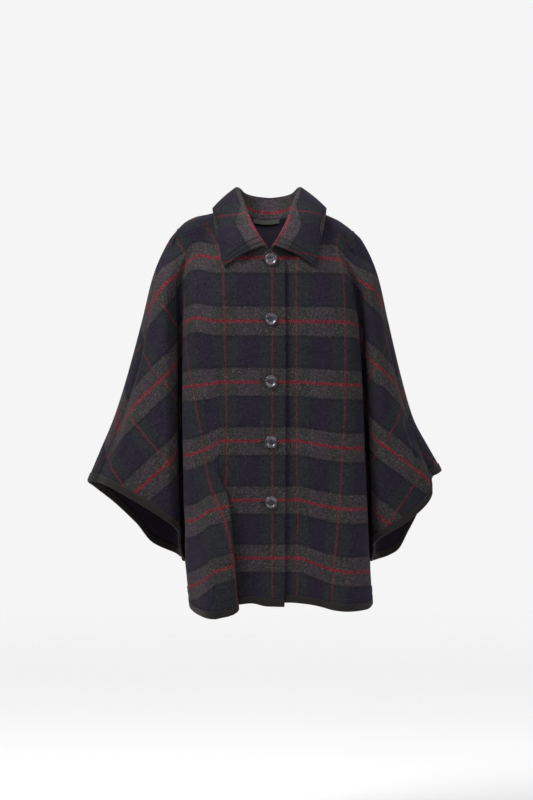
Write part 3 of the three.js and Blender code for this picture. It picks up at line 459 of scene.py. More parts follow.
class Cloth:
    """A grid of points with cloth and edge coordinates, turned into one closed wall of wool."""

    def __init__(self):
        self.points, self.normals, self.cloth, self.edge, self.quads = [], [], [], [], []
        self.count = 0

    def add(self, P, cloth, edge, flip):
        """P columns x rows x 3; flip turns the faces round."""
        N = grid_normals(P) * (-1 if flip else 1)
        ids = np.arange(P.shape[0] * P.shape[1]).reshape(P.shape[:2]) + self.count
        a, b, c, d = ids[:-1, :-1], ids[1:, :-1], ids[1:, 1:], ids[:-1, 1:]
        quads = np.stack([a, d, c, b] if flip else [a, b, c, d], 2).reshape(-1, 4)
        self.points.append(P.reshape(-1, 3))
        self.normals.append(N.reshape(-1, 3))
        self.cloth.append(cloth.reshape(-1, 2))
        self.edge.append(edge.reshape(-1, 2))
        self.quads.append(quads)
        self.count += P.shape[0] * P.shape[1]

    def gather(self):
        P, N, C, E, Q = (np.concatenate(a) for a in
                         (self.points, self.normals, self.cloth, self.edge, self.quads))
        keys = np.round(P, 3)
        _, first, same = np.unique(keys, axis=0, return_index=True, return_inverse=True)
        same = same.reshape(-1)
        joined = np.zeros((len(first), 3))
        np.add.at(joined, same, N)
        joined /= np.maximum(np.linalg.norm(joined, axis=1, keepdims=True), 1e-9)
        return P[first], joined, C, E, Q, same


def wall_mesh(name, cloth, wall, round_edge, materials):
    """Both faces of the wool and a rounded edge between them, as one closed mesh."""
    P, N, C, E, Q, same = cloth.gather()
    corner = Q  # places of each corner's cloth coordinates
    quads = same[Q]
    good = np.array([len(set(q)) > 2 for q in quads])
    quads, corner = quads[good], corner[good]
    n = len(P)
    edges = {}
    for qi, q in enumerate(quads):
        for k in range(4):
            a, b = q[k], q[(k + 1) % 4]
            if a == b:
                continue
            if (b, a) in edges:
                del edges[(b, a)]
            else:
                edges[(a, b)] = (corner[qi][k], corner[qi][(k + 1) % 4])
    border = list(edges.items())
    rim_at, outward = {}, {}
    neighbours = {}
    for q in quads:
        centre = P[q].mean(0)
        for k in q:
            neighbours.setdefault(k, []).append(centre)
    for (a, b), _ in border:
        d = P[b] - P[a]
        for k in (a, b):
            outward.setdefault(k, []).append(np.cross(d / max(np.linalg.norm(d), 1e-9), N[k]))
    rim_points = []
    for k, list_ in outward.items():
        o = np.sum(list_, 0)
        o = o - N[k] * o.dot(N[k])
        o /= max(np.linalg.norm(o), 1e-9)
        if o.dot(np.mean(neighbours[k], 0) - P[k]) > 0:
            o = -o
        rim_at[k] = 2 * n + len(rim_points)
        rim_points.append(P[k] + o * round_edge)
    verts = np.concatenate([P + N * wall / 2, P - N * wall / 2, np.array(rim_points).reshape(-1, 3)])
    faces, uvs, slots = [], [], []
    for q, cq in zip(quads, corner):
        keep = [k for k in range(4) if q[k] != q[k - 1]]
        faces.append([q[k] for k in keep])
        uvs.append([cq[k] for k in keep])
        slots.append(0)
        faces.append([q[k] + n for k in reversed(keep)])
        uvs.append([cq[k] for k in reversed(keep)])
        slots.append(1)
    for (a, b), (ca, cb) in border:
        faces += [[b, a, rim_at[a], rim_at[b]], [rim_at[b], rim_at[a], a + n, b + n]]
        uvs += [[cb, ca, ca, cb], [cb, ca, ca, cb]]
        slots += [0, 0]
    mesh = bpy.data.meshes.new(name)
    mesh.from_pydata((verts * 0.001).tolist(), [], [[int(k) for k in f] for f in faces])
    flat = np.concatenate([np.array(u) for u in uvs])
    for layer, values in (("cloth", C), ("edge", E)):
        uv = mesh.uv_layers.new(name=layer)
        uv.data.foreach_set("uv", (values[flat] * 0.001).astype(np.float32).ravel())
    mesh.polygons.foreach_set("material_index", slots)
    mesh.polygons.foreach_set("use_smooth", [True] * len(faces))
    for m in materials:
        mesh.materials.append(m)
    mesh.validate()
    piece = bpy.data.objects.new(name, mesh)
    bpy.context.scene.collection.objects.link(piece)
    return piece


class Dye:
    """A value in a material's nodes. Arithmetic on it adds Math nodes."""

    def __init__(self, tree, socket=None):
        self.tree, self.socket = tree, socket

    def node(self, kind, settings=None, inputs=None, out=0):
        made = self.tree.nodes.new(kind)
        for key, value in (settings or {}).items():
            setattr(made, key, value)
        for key, value in (inputs or {}).items():
            if isinstance(value, Dye):
                self.tree.links.new(value.socket, made.inputs[key])
            else:
                made.inputs[key].default_value = value
        return Dye(self.tree, made.outputs[out])

    def math(self, operation, *others):
        return self.node("ShaderNodeMath", {"operation": operation}, dict(enumerate((self, *others))))

    def __add__(self, o): return self.math("ADD", o)
    def __mul__(self, o): return self.math("MULTIPLY", o)
    def __sub__(self, o): return self.math("SUBTRACT", o)
    def __truediv__(self, o): return self.math("DIVIDE", o)
    def __rsub__(self, o): return self.node("ShaderNodeMath", {"operation": "SUBTRACT"}, {0: o, 1: self})
    __radd__, __rmul__ = __add__, __mul__

    def stripe(self, step, at, half, soft):
        """1 on stripes that repeat each step, with soft edges."""
        off = ((self - at) / step + 0.5).math("FRACT") - 0.5
        return self.node("ShaderNodeMapRange", {"interpolation_type": "SMOOTHSTEP"}, {
            0: off.math("ABSOLUTE") * step, 1: half - soft, 2: half + soft, 3: 1.0, 4: 0.0})

    def band(self, at, half, soft):
        """1 within half of a place, falling off softly."""
        return self.node("ShaderNodeMapRange", {"interpolation_type": "SMOOTHSTEP"}, {
            0: (self - at).math("ABSOLUTE"), 1: half - soft, 2: half + soft, 3: 1.0, 4: 0.0})

    def blend(self, a, b):
        """Colour a where this is 0, b where it is 1."""
        return self.node("ShaderNodeMix", {"data_type": "RGBA"}, {0: self, 6: a, 7: b}, 2)

    def noise(self, scale, detail=2.0, rough=0.5):
        return self.node("ShaderNodeTexNoise", {}, {
            "Vector": self, "Scale": scale, "Detail": detail, "Roughness": rough})


def srgb(r, g, b):
    return (*[((c / 255 + 0.055) / 1.055) ** 2.4 if c > 10 else c / 255 / 12.92 for c in (r, g, b)], 1)


def finish_material(material, colour, rough, normal, sockets):
    surface = material.node_tree.nodes.new("ShaderNodeBsdfPrincipled")
    links = material.node_tree.links
    links.new(colour.socket, surface.inputs["Base Color"])
    if isinstance(rough, Dye):
        links.new(rough.socket, surface.inputs["Roughness"])
    else:
        surface.inputs["Roughness"].default_value = rough
    if normal is not None:
        links.new(normal.socket, surface.inputs["Normal"])
    for key, value in sockets.items():
        surface.inputs[key].default_value = value
    out = material.node_tree.nodes.new("ShaderNodeOutputMaterial")
    links.new(surface.outputs[0], out.inputs[0])
    return material


def new_material(name):
    material = bpy.data.materials.new(name)
    material.use_nodes = True
    material.node_tree.nodes.clear()
    return material, Dye(material.node_tree)


WOOL_SHEEN = {"Sheen Weight": 0.08, "Sheen Roughness": 0.45, "Sheen Tint": srgb(170, 165, 175),
              "Specular IOR Level": 0.15}


def fulled_surface(start, cloth, place, groove=0.0):
    """Fine twill lines under a raised, fulled nap, pressed in where groove is 1."""
    axes = start.node("ShaderNodeSeparateXYZ", {}, {0: cloth})
    across = Dye(axes.tree, axes.socket.node.outputs[0])
    down = Dye(axes.tree, axes.socket.node.outputs[1])
    twill = ((across + down) * (2 * math.pi / 0.0021)).math("SINE")
    nap = place.noise(900.0, 3.0, 0.65)
    tufts = place.noise(260.0, 3.0, 0.6)
    height = twill * 0.25 + nap * 0.9 + tufts * 0.9 - 2.2 * groove
    normal = start.node("ShaderNodeBump", {}, {"Strength": 0.55, "Distance": 0.0006, "Height": height})
    return across, down, nap, tufts, normal


def checked_wool(name, warp_at, weft_at):
    """Places of the first red warp and weft stripes in metres of cloth."""
    material, start = new_material(name)
    cloth = start.node("ShaderNodeUVMap", {"uv_map": "cloth"})
    edge = start.node("ShaderNodeUVMap", {"uv_map": "edge"})
    place = start.node("ShaderNodeTexCoord", out=3)
    seam = start.node("ShaderNodeSeparateXYZ", {}, {0: edge})
    # grooves of the two rows of topstitching by the seams and edges: pressed into the bump, and also
    # darkened in the colour further down as painted shade
    groove = seam.band(0.0045, 0.0010, 0.0009) + seam.band(0.0115, 0.0010, 0.0009)
    across, down, nap, tufts, normal = fulled_surface(start, cloth, place, groove)
    wander = place.noise(60.0, 2.0) * 0.0016 - 0.0008
    yarns = start.node("ShaderNodeMapping", {}, {0: cloth, 3: (50.0, 460.0, 1.0)}).noise(1.0, 2.0)
    yarns_down = start.node("ShaderNodeMapping", {}, {0: cloth, 3: (460.0, 50.0, 1.0)}).noise(1.0, 2.0)
    s, t = across + wander, down + wander
    green = s.stripe(WARP_STEP / 1000, warp_at, 0.0242, 0.0026)
    grey = t.stripe(WEFT_STEP / 1000, weft_at, 0.0278, 0.0020)
    red_warp = s.stripe(WARP_STEP / 1000, warp_at, 0.0018, 0.0012)
    red_weft = t.stripe(WEFT_STEP / 1000, weft_at, 0.0033, 0.0016)
    dark_edge = t.stripe(WEFT_STEP / 1000, weft_at, 0.0330, 0.0026) - grey
    dark = green.blend(srgb(30, 26, 41), srgb(31, 33, 38))
    pale = green.blend(srgb(51, 45, 50), srgb(45, 44, 44))
    colour = grey.blend(dark, pale)
    colour = (dark_edge * 0.45).blend(colour, srgb(19, 18, 20))
    colour = (red_warp * (0.12 + 0.4 * yarns_down)).blend(colour, srgb(118, 22, 40))
    colour = (red_weft * (0.44 + 0.5 * yarns)).blend(colour, srgb(108, 15, 33))
    heather = place.noise(390.0, 2.0, 0.7)
    pepper = place.noise(320.0, 2.0, 0.6)
    light = heather.node("ShaderNodeMapRange", {}, {0: heather, 1: 0.54, 2: 0.70})
    colour = (light * (0.12 + 0.32 * grey)).blend(colour, srgb(116, 108, 104))
    black = pepper.node("ShaderNodeMapRange", {}, {0: pepper, 1: 0.50, 2: 0.66})
    colour = (black * 0.62).blend(colour, srgb(11, 10, 14))
    tone = (yarns * 0.9 + 0.6) * (yarns_down * 0.5 + 0.8) * (place.noise(9.0, 2.0) * 0.3 + 0.85)
    # painted shade: the colour is darkened along the topstitch grooves, for the shade that falls in them
    tone = tone * (0.88 - 0.4 * groove)
    shade = start.node("ShaderNodeCombineColor", {}, {0: tone, 1: tone, 2: tone})
    colour = start.node("ShaderNodeMix", {"data_type": "RGBA", "blend_type": "MULTIPLY"}, {
        0: 1.0, 6: colour, 7: shade}, 2)
    return finish_material(material, colour, nap * 0.1 + 0.86, normal, WOOL_SHEEN)


def plain_wool(name, colour_at):
    material, start = new_material(name)
    cloth = start.node("ShaderNodeUVMap", {"uv_map": "cloth"})
    place = start.node("ShaderNodeTexCoord", out=3)
    across, down, nap, tufts, normal = fulled_surface(start, cloth, place, Dye(material.node_tree).node(
        "ShaderNodeValue"))
    tone = (tufts * 0.5 + 0.75) * (place.noise(9.0, 2.0) * 0.2 + 0.9)
    shade = start.node("ShaderNodeCombineColor", {}, {0: tone, 1: tone, 2: tone})
    colour = start.node("ShaderNodeMix", {"data_type": "RGBA", "blend_type": "MULTIPLY"}, {
        0: 1.0, 6: colour_at, 7: shade}, 2)
    return finish_material(material, colour, 0.92, normal, WOOL_SHEEN)


wool_front = checked_wool("checked_wool", FIRST_WARP / 1000, FIRST_WEFT / 1000)
wool_inside = plain_wool("plain_navy_wool", srgb(27, 24, 33))


def front_grid(side):
    """Columns of points for one front, its lower part only where it isn't sleeve."""
    reach_rows = wing_reach(side, front_u)
    columns = []
    for u, row in zip(front_u, reach_rows):
        parts = front_column(side, u)
        columns.append([(p, cloth_check(side, u, p, row, False)) for p in parts])
    return columns


def edge_distance(P):
    """Distance from the first row and from the first column, along the cloth."""
    down = np.linalg.norm(np.diff(P, axis=1), axis=2)
    from_top = np.concatenate([np.zeros((P.shape[0], 1)), np.cumsum(down, 1)], 1)
    out = np.linalg.norm(np.diff(P, axis=0), axis=2)
    along = np.concatenate([np.zeros((1, P.shape[1])), np.cumsum(out, 0)], 0)
    return from_top, along


def creased(P, name, flip, fade):
    """Creases laid on the cloth, none at its seams, where fade is 0 for a column."""
    N = grid_normals(P) * (-1 if flip else 1)
    fade = np.asarray(fade)[:, None] * smooth(0, 10, np.arange(P.shape[1]))[None, :]
    depth = crease_depth(CREASES[name], np.abs(P[..., 0]), P[..., 2]) * fade
    return P + N * depth[..., None]


def make_front(side):
    columns = front_grid(side)
    sign = side["sign"]
    flip = sign > 0
    fold = front_u.index(FOLD_U)
    cloth = Cloth()
    upper = np.array([c[0][0] for c in columns])
    upper_cloth = np.array([c[0][1] for c in columns])
    lower = np.array([np.concatenate([c[0][0][-1:], c[1][0]]) for c in columns[:fold + 1]])
    lower_cloth = np.array([np.concatenate([c[0][1][-1:], c[1][1]]) for c in columns[:fold + 1]])
    P = np.stack([sign * upper[..., 0], upper[..., 1], upper[..., 2]], 2)
    Q = np.stack([sign * lower[..., 0], lower[..., 1], lower[..., 2]], 2)
    whole = np.concatenate([P[:fold + 1], Q[:, 1:]], 1)
    us = np.array(front_u)
    fade = smooth(-32, 0, us) * smooth(464, 434, us) * smooth(0, 22, np.abs(us - FOLD_U))
    body_part = creased(whole, (side["name"], "front"), flip, fade[:fold + 1])
    sleeve = creased(P, (side["name"], "front"), flip, fade)
    rows = P.shape[1]
    P = np.concatenate([body_part[:, :rows], sleeve[fold + 1:]])
    Q = body_part[:, rows - 1:]
    from_top, along = edge_distance(P)
    seam_far = along[-1][None, :] - along
    near_seam = np.where(np.array(front_u)[:, None] > 70, np.minimum(from_top, seam_far), seam_far)
    top_edge = np.stack([near_seam, along], 2)
    low_from, low_along = edge_distance(Q)
    low_edge = np.stack([np.full_like(low_along, 500.0), low_along], 2)
    cloth.add(P, upper_cloth, top_edge, flip)
    cloth.add(Q, lower_cloth, low_edge, flip)
    return cloth, P, Q


fronts = {}
for side in (right, left):
    cloth, upper, lower = make_front(side)
    piece = wall_mesh(f"cloth_front_{side['name']}", cloth, WALL, 0.8, [wool_front, wool_inside])
    fronts[side["name"]] = {"piece": piece, "upper": upper, "lower": lower}
    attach(piece, "root")
    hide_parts(f"front_{side['name']}")


# Back: one wide panel cut in one with the back of both half sleeves, the same wool. Its shoulder
# and arm edges are lapped over the fronts' and held by two rows of topstitching.
SEAM_COLUMNS = [464, 445, 420, 390, 360, 338, 323, 312, 292, 270, 255, 246, 237, 222, 200, 180, 167,
                155, 138, 115, 90, 70]
BACK_COLUMNS = [464, 471, 478, 484, 504, 523, 548, 578, 608, 630, 645, 656, 676, 698, 713, 722, 731,
                746, 768, 788, 801, 813, 830, 853, 878, 898, 913, 933, 951, 968]
NECK_FROM = 1 + len(SEAM_COLUMNS)


def back_top(side, i):
    """The seam point and the shoulder ridge point of the back at place i in its columns."""
    def seam_point(at):
        s = side["shoulder"]
        return np.array([[s["x"](at), s["y"](at), s["z"](at)], [s["rx"](at), s["ry"](at), s["rz"](at)]])
    if i <= 3:
        return mix(seam_point(1.0), seam_point(shoulder_place(SEAM_COLUMNS[1])), i / 3)
    if i <= NECK_FROM:
        u = np.interp(i - 2, range(len(SEAM_COLUMNS)), SEAM_COLUMNS)
        return seam_point(shoulder_place(u))
    at = (i - NECK_FROM) / (len(BACK_COLUMNS) - 1 - NECK_FROM)
    return np.array([[neck_back[k](at) for k in "xyz"], [neck_back["r" + k](at) for k in "xyz"]])


def bow(a, control, b, t):
    t = np.asarray(t)[..., None]
    return (1 - t) ** 2 * a + 2 * t * (1 - t) * control + t * t * b


def back_column(side, i):
    u = float(np.interp(i, range(len(BACK_COLUMNS)), BACK_COLUMNS))
    if i < 3:
        seam = front_column(side, SEAM_U)[0]
        ridge = back_column(side, 3)[0]
        control = mix(seam, ridge, np.array([0.75, 0.25, 0.5, 0.75]))
        upper = bow(seam, control, ridge, np.full(len(seam), i / 3))
        upper[0, :3] = back_top(side, i)[0]
        return [upper]
    seam, ridge = back_top(side, i)
    control = mix(seam, ridge, np.array([0.5, 0.35, 0.9]))
    if i > NECK_FROM:
        control = mix(seam, ridge, 0.49)
    strip = bow(seam, control, ridge, np.linspace(0, 1, SHOULDER_ROWS, endpoint=False))
    strip = np.concatenate([strip, strip[:, :1]], 1)
    reach = mix(60, 110, smooth(RIDGE_U, 700, u))
    spread = mix(0.3, 1, smooth(RIDGE_U, 600, u))
    sleeve = FOLD_U <= BACK_U - u and u <= BACK_U - FOLD_U
    rest = (UPPER_ROWS[SHOULDER_ROWS:] - SHOULDER_PART) / (1 - SHOULDER_PART)
    parts = [heights(ridge[2], lower_end(side, u), rest, CUFF_TAPE_WIDTH if sleeve else 0.1)]
    if u >= BACK_U - FOLD_U:
        parts.append(heights(SIDE_SEAM_TOP, hem_end(side, u), LOWER_ROWS, HEM_TAPE_WIDTH)[1:])
    out = []
    for z in parts:
        x, y, level_x = drape(side, u + (0.01 if u == RIDGE_U else 0), z)
        held = float(smooth(4.0, 3.0, i))
        x, y = settle(ridge, x, y, z, reach, spread, held)
        out.append(np.stack([x, y, z, level_x], 1))
    out[0] = np.concatenate([strip, out[0]])
    return out


def back_places():
    places = []
    for i, (a, b) in enumerate(zip(BACK_COLUMNS[:-1], BACK_COLUMNS[1:])):
        n = max(1, round((b - a) / 3.5))
        places += [i + k / n for k in range(n)]
    return places + [len(BACK_COLUMNS) - 1]


back_i = back_places()
back_u = [float(np.interp(i, range(len(BACK_COLUMNS)), BACK_COLUMNS)) for i in back_i]
back_cloth = Cloth()
back_parts = {}
for side in (right, left):
    reach_rows = wing_reach(side, back_u)
    columns = [back_column(side, i) for i in back_i]
    fold = back_u.index(BACK_U - FOLD_U)
    sign = side["sign"]
    flip = sign > 0
    upper = np.array([c[0] for c in columns])
    lower = np.array([np.concatenate([c[0][-1:], c[1]]) for c in columns[fold:]])
    check_upper = np.array([cloth_check(side, u, c, r, True)
                            for u, c, r in zip(back_u, upper, reach_rows)])
    check_lower = np.array([cloth_check(side, u, c, r, True)
                            for u, c, r in zip(back_u[fold:], lower, reach_rows[fold:])])
    P = np.stack([sign * upper[..., 0], upper[..., 1], upper[..., 2]], 2)
    Q = np.stack([sign * lower[..., 0], lower[..., 1], lower[..., 2]], 2)
    # over the shoulder the check runs on from the seam by the length of cloth
    from_top, along = edge_distance(P)
    for k, u in enumerate(back_u):
        arc = from_top[k]
        turn = smooth(0, 1, np.clip((arc - 25) / 50, 0, 1))
        over = check_upper[k, SHOULDER_ROWS, 1] + (arc - arc[SHOULDER_ROWS])
        keep = smooth(500, 560, u)
        check_upper[k, :, 1] = mix(check_upper[k, :, 1], mix(over, check_upper[k, :, 1], turn), keep)
    key = (side["name"], "back")
    us = np.array(back_u)
    fade = (smooth(480, 512, us) * smooth(BACK_U, BACK_U - 60, us)
            * smooth(0, 22, np.abs(us - (BACK_U - FOLD_U))))
    whole = creased(np.concatenate([P[fold:], Q[:, 1:]], 1), key, flip, fade[fold:])
    sleeve = creased(P, key, flip, fade)
    rows = P.shape[1]
    P = np.concatenate([sleeve[:fold], whole[:, :rows]])
    Q = whole[:, rows - 1:]
    from_top, along = edge_distance(P)
    near_seam = np.where(np.array(back_i)[:, None] <= NECK_FROM, np.minimum(from_top, along), along)
    top_edge = np.stack([near_seam, np.full_like(near_seam, 500.0)], 2)
    low_edge = np.full(Q.shape[:2] + (2,), 500.0)
    back_cloth.add(P, check_upper, top_edge, flip)
    back_cloth.add(Q, check_lower, low_edge, flip)
    back_parts[side["name"]] = {"upper": P, "lower": Q}
back_piece = wall_mesh("cloth_back", back_cloth, WALL, 0.8, [wool_front, wool_inside])
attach(back_piece, "root")
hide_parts("back")


# Collar: a wide pointed shirt collar in two layers of the same wool, cut with the check's weft along
# the neck. It stands at the neck, rolls over and lies on the fronts and back, its edge topstitched.
COLLAR_WALL, ROLL = 2.8, 5.2
collar_front = smooth_table(
    "u roll_x roll_y roll_z edge_x edge_z lift",
    (6, 8, -98, -52, 88, -94, 5), (22, 23, -91, -30, 94, -80, 5), (40, 38, -74, -2, 98, -54, 5),
    (56, 51, -48, 32, 105, -22, 8), (64, 58, -28, 52, 110, 2, 11))
collar_back = smooth_table(
    "at roll_x roll_y roll_z edge_x edge_y edge_z",
    (0, 63, -6, 68, 113, -10, 26), (0.3, 61, 26, 70, 104, 56, 14), (0.55, 47, 54, 60, 80, 88, 1),
    (0.8, 22, 72, 55, 38, 104, -11), (1, 0, 76, 53, 0, 109, -14))
# two warp stripes of the front fall: height at x = 0 and how fast they drop going out
fall_stripes = {"right": ((16.3, 0.09), (-62.1, 0.273)), "left": ((24.1, 0.112), (-54.6, 0.208))}


def front_y(name, x, z):
    """Depth of the front's outer surface, seen from the front."""
    P = fronts[name]["upper"].reshape(-1, 3)
    near = (np.abs(P[:, 0] - x) < 5) & (np.abs(P[:, 2] - z) < 5)
    return P[near, 1].min() if near.any() else 0.0


def collar_stations(side):
    """Base, roll and edge of the collar from its front end to the back centre."""
    narrow = 0.94 if side["name"] == "left" else 1
    rows = []
    for u in (6, 22, 40, 56, 64):
        x, z = float(collar_front["edge_x"](u)), float(collar_front["edge_z"](u))
        y = min(-30, front_y(side["name"], side["sign"] * x, z)) - collar_front["lift"](u)
        rows.append([*front_top(side, u), collar_front["roll_x"](u) * narrow,
                     collar_front["roll_y"](u), collar_front["roll_z"](u), x, y, z, 4])
    for i in range(NECK_FROM, len(BACK_COLUMNS)):
        at = (i - NECK_FROM) / (len(BACK_COLUMNS) - 1 - NECK_FROM)
        c = {key: float(curve(at)) for key, curve in collar_back.items()}
        rows.append([*back_top(side, i)[0], c["roll_x"] * narrow, c["roll_y"], c["roll_z"],
                     c["edge_x"], c["edge_y"], c["edge_z"], 1.5 + 2.5 * at])
    rows = np.array(rows, float)
    far = np.concatenate([[0], np.cumsum(np.linalg.norm(np.diff(rows[:, 3:6], axis=0), axis=1))])
    places = np.linspace(0, far[-1], 110)
    curves = smooth_table(" ".join(["far"] + [f"c{k}" for k in range(10)]),
                          *[(f, *row) for f, row in zip(far, rows)])
    return np.stack([curves[f"c{k}"](places) for k in range(10)], 1), far[-1] - places


def collar_column(row):
    base, roll, edge, arch = row[0:3], row[3:6], row[6:9], row[9]
    out = np.array([edge[0] - roll[0], edge[1] - roll[1], 0])
    out /= np.linalg.norm(out)
    inner = roll - out * ROLL * 0.6
    points = [mix(base, inner, t) - np.array([0, 0, (1 - t) * t * 4 + t * t * t * ROLL])
              for t in np.linspace(0, 1, 9)]
    for a in np.radians([30, 55, 80, 105, 130]):
        points.append(roll + out * ROLL * (0.4 - math.cos(a)) + [0, 0, (math.sin(a) - 1) * ROLL])
    start = points[-1]
    for t in np.linspace(0, 1, 25)[1:]:
        rise = 4 * t * (1 - t) * arch
        points.append(mix(start, edge, t) + out * rise + [0, 0, rise * 0.8])
    return np.array(points)


STAND_ROWS = 14
collar_cloth = Cloth()
collar_grids = {}
for side in (right, left):
    rows, far = collar_stations(side)
    P = np.array([collar_column(r) for r in rows])
    P[..., 0] *= side["sign"]
    # the fall lies on the front and never goes through it
    for i in range(len(P)):
        for j in range(STAND_ROWS, P.shape[1]):
            x, y, z = P[i, j]
            if y < -20:
                P[i, j, 1] = min(y, front_y(side["name"], x, z) - 3.4)
    smoothed = P.copy()
    smoothed[1:-1, STAND_ROWS:-1, 1] = (
        P[1:-1, STAND_ROWS:-1, 1] * 0.4 + 0.15 * (P[:-2, STAND_ROWS:-1, 1] + P[2:, STAND_ROWS:-1, 1]
        + P[1:-1, STAND_ROWS - 1:-2, 1] + P[1:-1, STAND_ROWS + 1:, 1]))
    P = smoothed
    down = np.linalg.norm(np.diff(P, axis=1), axis=2)
    T = np.concatenate([np.zeros((len(P), 1)), np.cumsum(down, 1)], 1)
    # toward its front end the stand runs out and the red weft comes over the roll
    T = T - (np.maximum(0, T[:, STAND_ROWS - 2] - 16.5) * smooth(170, 215, far))[:, None]
    (z1, k1), (z2, k2) = fall_stripes[side["name"]]

    def by_place(x, z):
        first, second = z1 - k1 * np.abs(x), z2 - k2 * np.abs(x)
        return 235 + (first - z) * WARP_STEP / (first - second)
    by_length = np.where(far < 50, far * 0.94, 47 + (far - 50) * 1.213)
    w = smooth(105, 160, far)
    station = mix(by_length, by_place(P[:, STAND_ROWS, 0], P[:, STAND_ROWS, 2]), w)
    S = np.repeat(station[:, None], P.shape[1], 1)
    S[:, STAND_ROWS:] = mix(S[:, STAND_ROWS:], by_place(P[:, STAND_ROWS:, 0], P[:, STAND_ROWS:, 2]),
                            w[:, None])
    from_edge = T[:, -1:] - T
    from_edge[:, :STAND_ROWS] = 500
    from_end = np.concatenate([[0], np.cumsum(np.linalg.norm(np.diff(P[:, -1], axis=0), axis=1))])
    edge = np.stack([np.minimum(from_edge, from_end[:, None]), np.full_like(T, 500.0)], 2)
    collar_cloth.add(P, np.stack([S, T], 2), edge, side["sign"] < 0)
    collar_grids[side["name"]] = P
collar_top = checked_wool("checked_wool_collar", 0.047, 0.014)
collar_piece = wall_mesh("cloth_collar", collar_cloth, COLLAR_WALL, 1.0, [collar_top, collar_top])
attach(collar_piece, "root")
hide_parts("collar")


# Bindings: brown-grey ribbed tape folded over the raw edges of both cuffs and the hem, 16 and 12
# wide on each face, held by one row of stitching near its inner edge.
TAPE, TAPE_GAP = 1.0, 0.35
tape_material, start = new_material("ribbed_tape")
along_tape = start.node("ShaderNodeUVMap", {"uv_map": "cloth"})
place = start.node("ShaderNodeTexCoord", out=3)
parts = start.node("ShaderNodeSeparateXYZ", {}, {0: along_tape})
crosswise = Dye(parts.tree, parts.socket.node.outputs[1])
ribs = (parts * (2 * math.pi / 0.0016)).math("SINE")
fuzz = place.noise(700.0, 3.0, 0.6)
edge_line = crosswise.band(0.0015, 0.0008, 0.0006)
colour = (ribs * 0.2 + fuzz * 0.6 + 0.1).blend(srgb(11, 9, 7), srgb(33, 27, 22))
colour = (place.noise(35.0) * 0.5).blend(colour, srgb(22, 18, 15))
tape_normal = start.node("ShaderNodeBump", {}, {
    "Strength": 0.5, "Distance": 0.0005, "Height": ribs * 0.4 + fuzz * 0.5 - edge_line})
finish_material(tape_material, colour, fuzz * 0.15 + 0.75, tape_normal,
                {"Sheen Weight": 0.08, "Specular IOR Level": 0.25})


def bind_edge(name, strip, flip, node):
    """strip: columns x rows, the last row the cloth's edge and the first one tape width in."""
    N = grid_normals(strip) * (-1 if flip else 1)
    off = WALL / 2 + TAPE_GAP + TAPE / 2
    grid = []
    for P, n in zip(strip, N):
        way = P[-1] - P[0]
        way -= n[-1] * way.dot(n[-1])
        way /= np.linalg.norm(way)
        outer = list(P + n * off)
        turn = [P[-1] + off * (n[-1] * math.cos(a) + way * math.sin(a))
                for a in np.radians([25, 55, 90, 125, 155])]
        grid.append(outer + turn + list((P - n * off)[::-1]))
    grid = np.array(grid)
    across = np.linalg.norm(np.diff(grid, axis=1), axis=2)
    T = np.concatenate([np.zeros((len(grid), 1)), np.cumsum(across, 1)], 1)
    edge_far = np.concatenate([[0], np.cumsum(np.linalg.norm(np.diff(strip[:, -1], axis=0), axis=1))])
    tape = Cloth()
    tape.add(grid, np.stack([np.repeat(edge_far[:, None], T.shape[1], 1), T], 2),
             np.full(T.shape + (2,), 500.0), flip)
    piece = wall_mesh(name, tape, TAPE, 0.3, [tape_material, tape_material])
    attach(piece, "root")
    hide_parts(node)
    return strip, N


tapes = {}
for side in (right, left):
    name, flip = side["name"], side["sign"] > 0
    fold = front_u.index(FOLD_U)
    tapes[f"cuff_front_{name}"] = bind_edge(
        f"tape_cuff_front_{name}", fronts[name]["upper"][fold + 4:, -TAPE_ROWS:], flip,
        f"cuff_tape_front_{name}")
    tapes[f"hem_front_{name}"] = bind_edge(
        f"tape_hem_front_{name}", fronts[name]["lower"][:, -TAPE_ROWS - 1:], flip,
        f"hem_tape_front_{name}")
    back_fold = back_u.index(BACK_U - FOLD_U)
    tapes[f"cuff_back_{name}"] = bind_edge(
        f"tape_cuff_back_{name}", back_parts[name]["upper"][:back_fold - 3, -TAPE_ROWS:], flip,
        f"cuff_tape_back_{name}")
hem_strip = np.concatenate([back_parts["right"]["lower"][:, -TAPE_ROWS - 1:],
                            back_parts["left"]["lower"][:-1, -TAPE_ROWS - 1:][::-1]])
tapes["hem_back"] = bind_edge("tape_hem_back", hem_strip, False, "hem_tape_back")


# Buttons: five of polished horn, turned with a raised rim and a dished middle, 24 across, sewn
# through four holes with navy thread.
BUTTON_X, BUTTON_RADIUS = 3, 12.2
BUTTON_Z = (-80, -198, -320, -438, -556)
HOLE_PLACE, HOLE_RADIUS = 2.3, 1.15
button_face = smooth_table(
    "r h", (0, 2.3), (4.0, 2.32), (6.6, 2.6), (8.6, 3.7), (10.0, 4.15), (10.9, 4.15), (11.8, 3.4),
    (12.1, 2.6), (12.2, 1.6))["h"]
horn, start = new_material("polished_horn")
place = start.node("ShaderNodeTexCoord", out=3)
cloud = place.noise(120.0, 4.0, 0.6)
streak = start.node("ShaderNodeMapping", {}, {0: place, 3: (1.0, 1.0, 0.25)}).noise(420.0, 3.0, 0.5)
colour = cloud.node("ShaderNodeMapRange", {}, {0: cloud, 1: 0.4, 2: 0.62}).blend(
    srgb(26, 23, 30), srgb(66, 60, 72))
colour = streak.node("ShaderNodeMapRange", {}, {0: streak, 1: 0.5, 2: 0.72}).blend(
    colour, srgb(88, 80, 90))
horn_bump = start.node("ShaderNodeBump", {}, {"Strength": 0.1, "Distance": 0.0002, "Height": streak})
finish_material(horn, colour, cloud * 0.12 + 0.22, horn_bump,
                {"Specular IOR Level": 0.75, "Coat Weight": 0.4, "Coat Roughness": 0.06})
thread, start = new_material("navy_thread")
place = start.node("ShaderNodeTexCoord", out=3)
twist = place.noise(1500.0, 2.0)
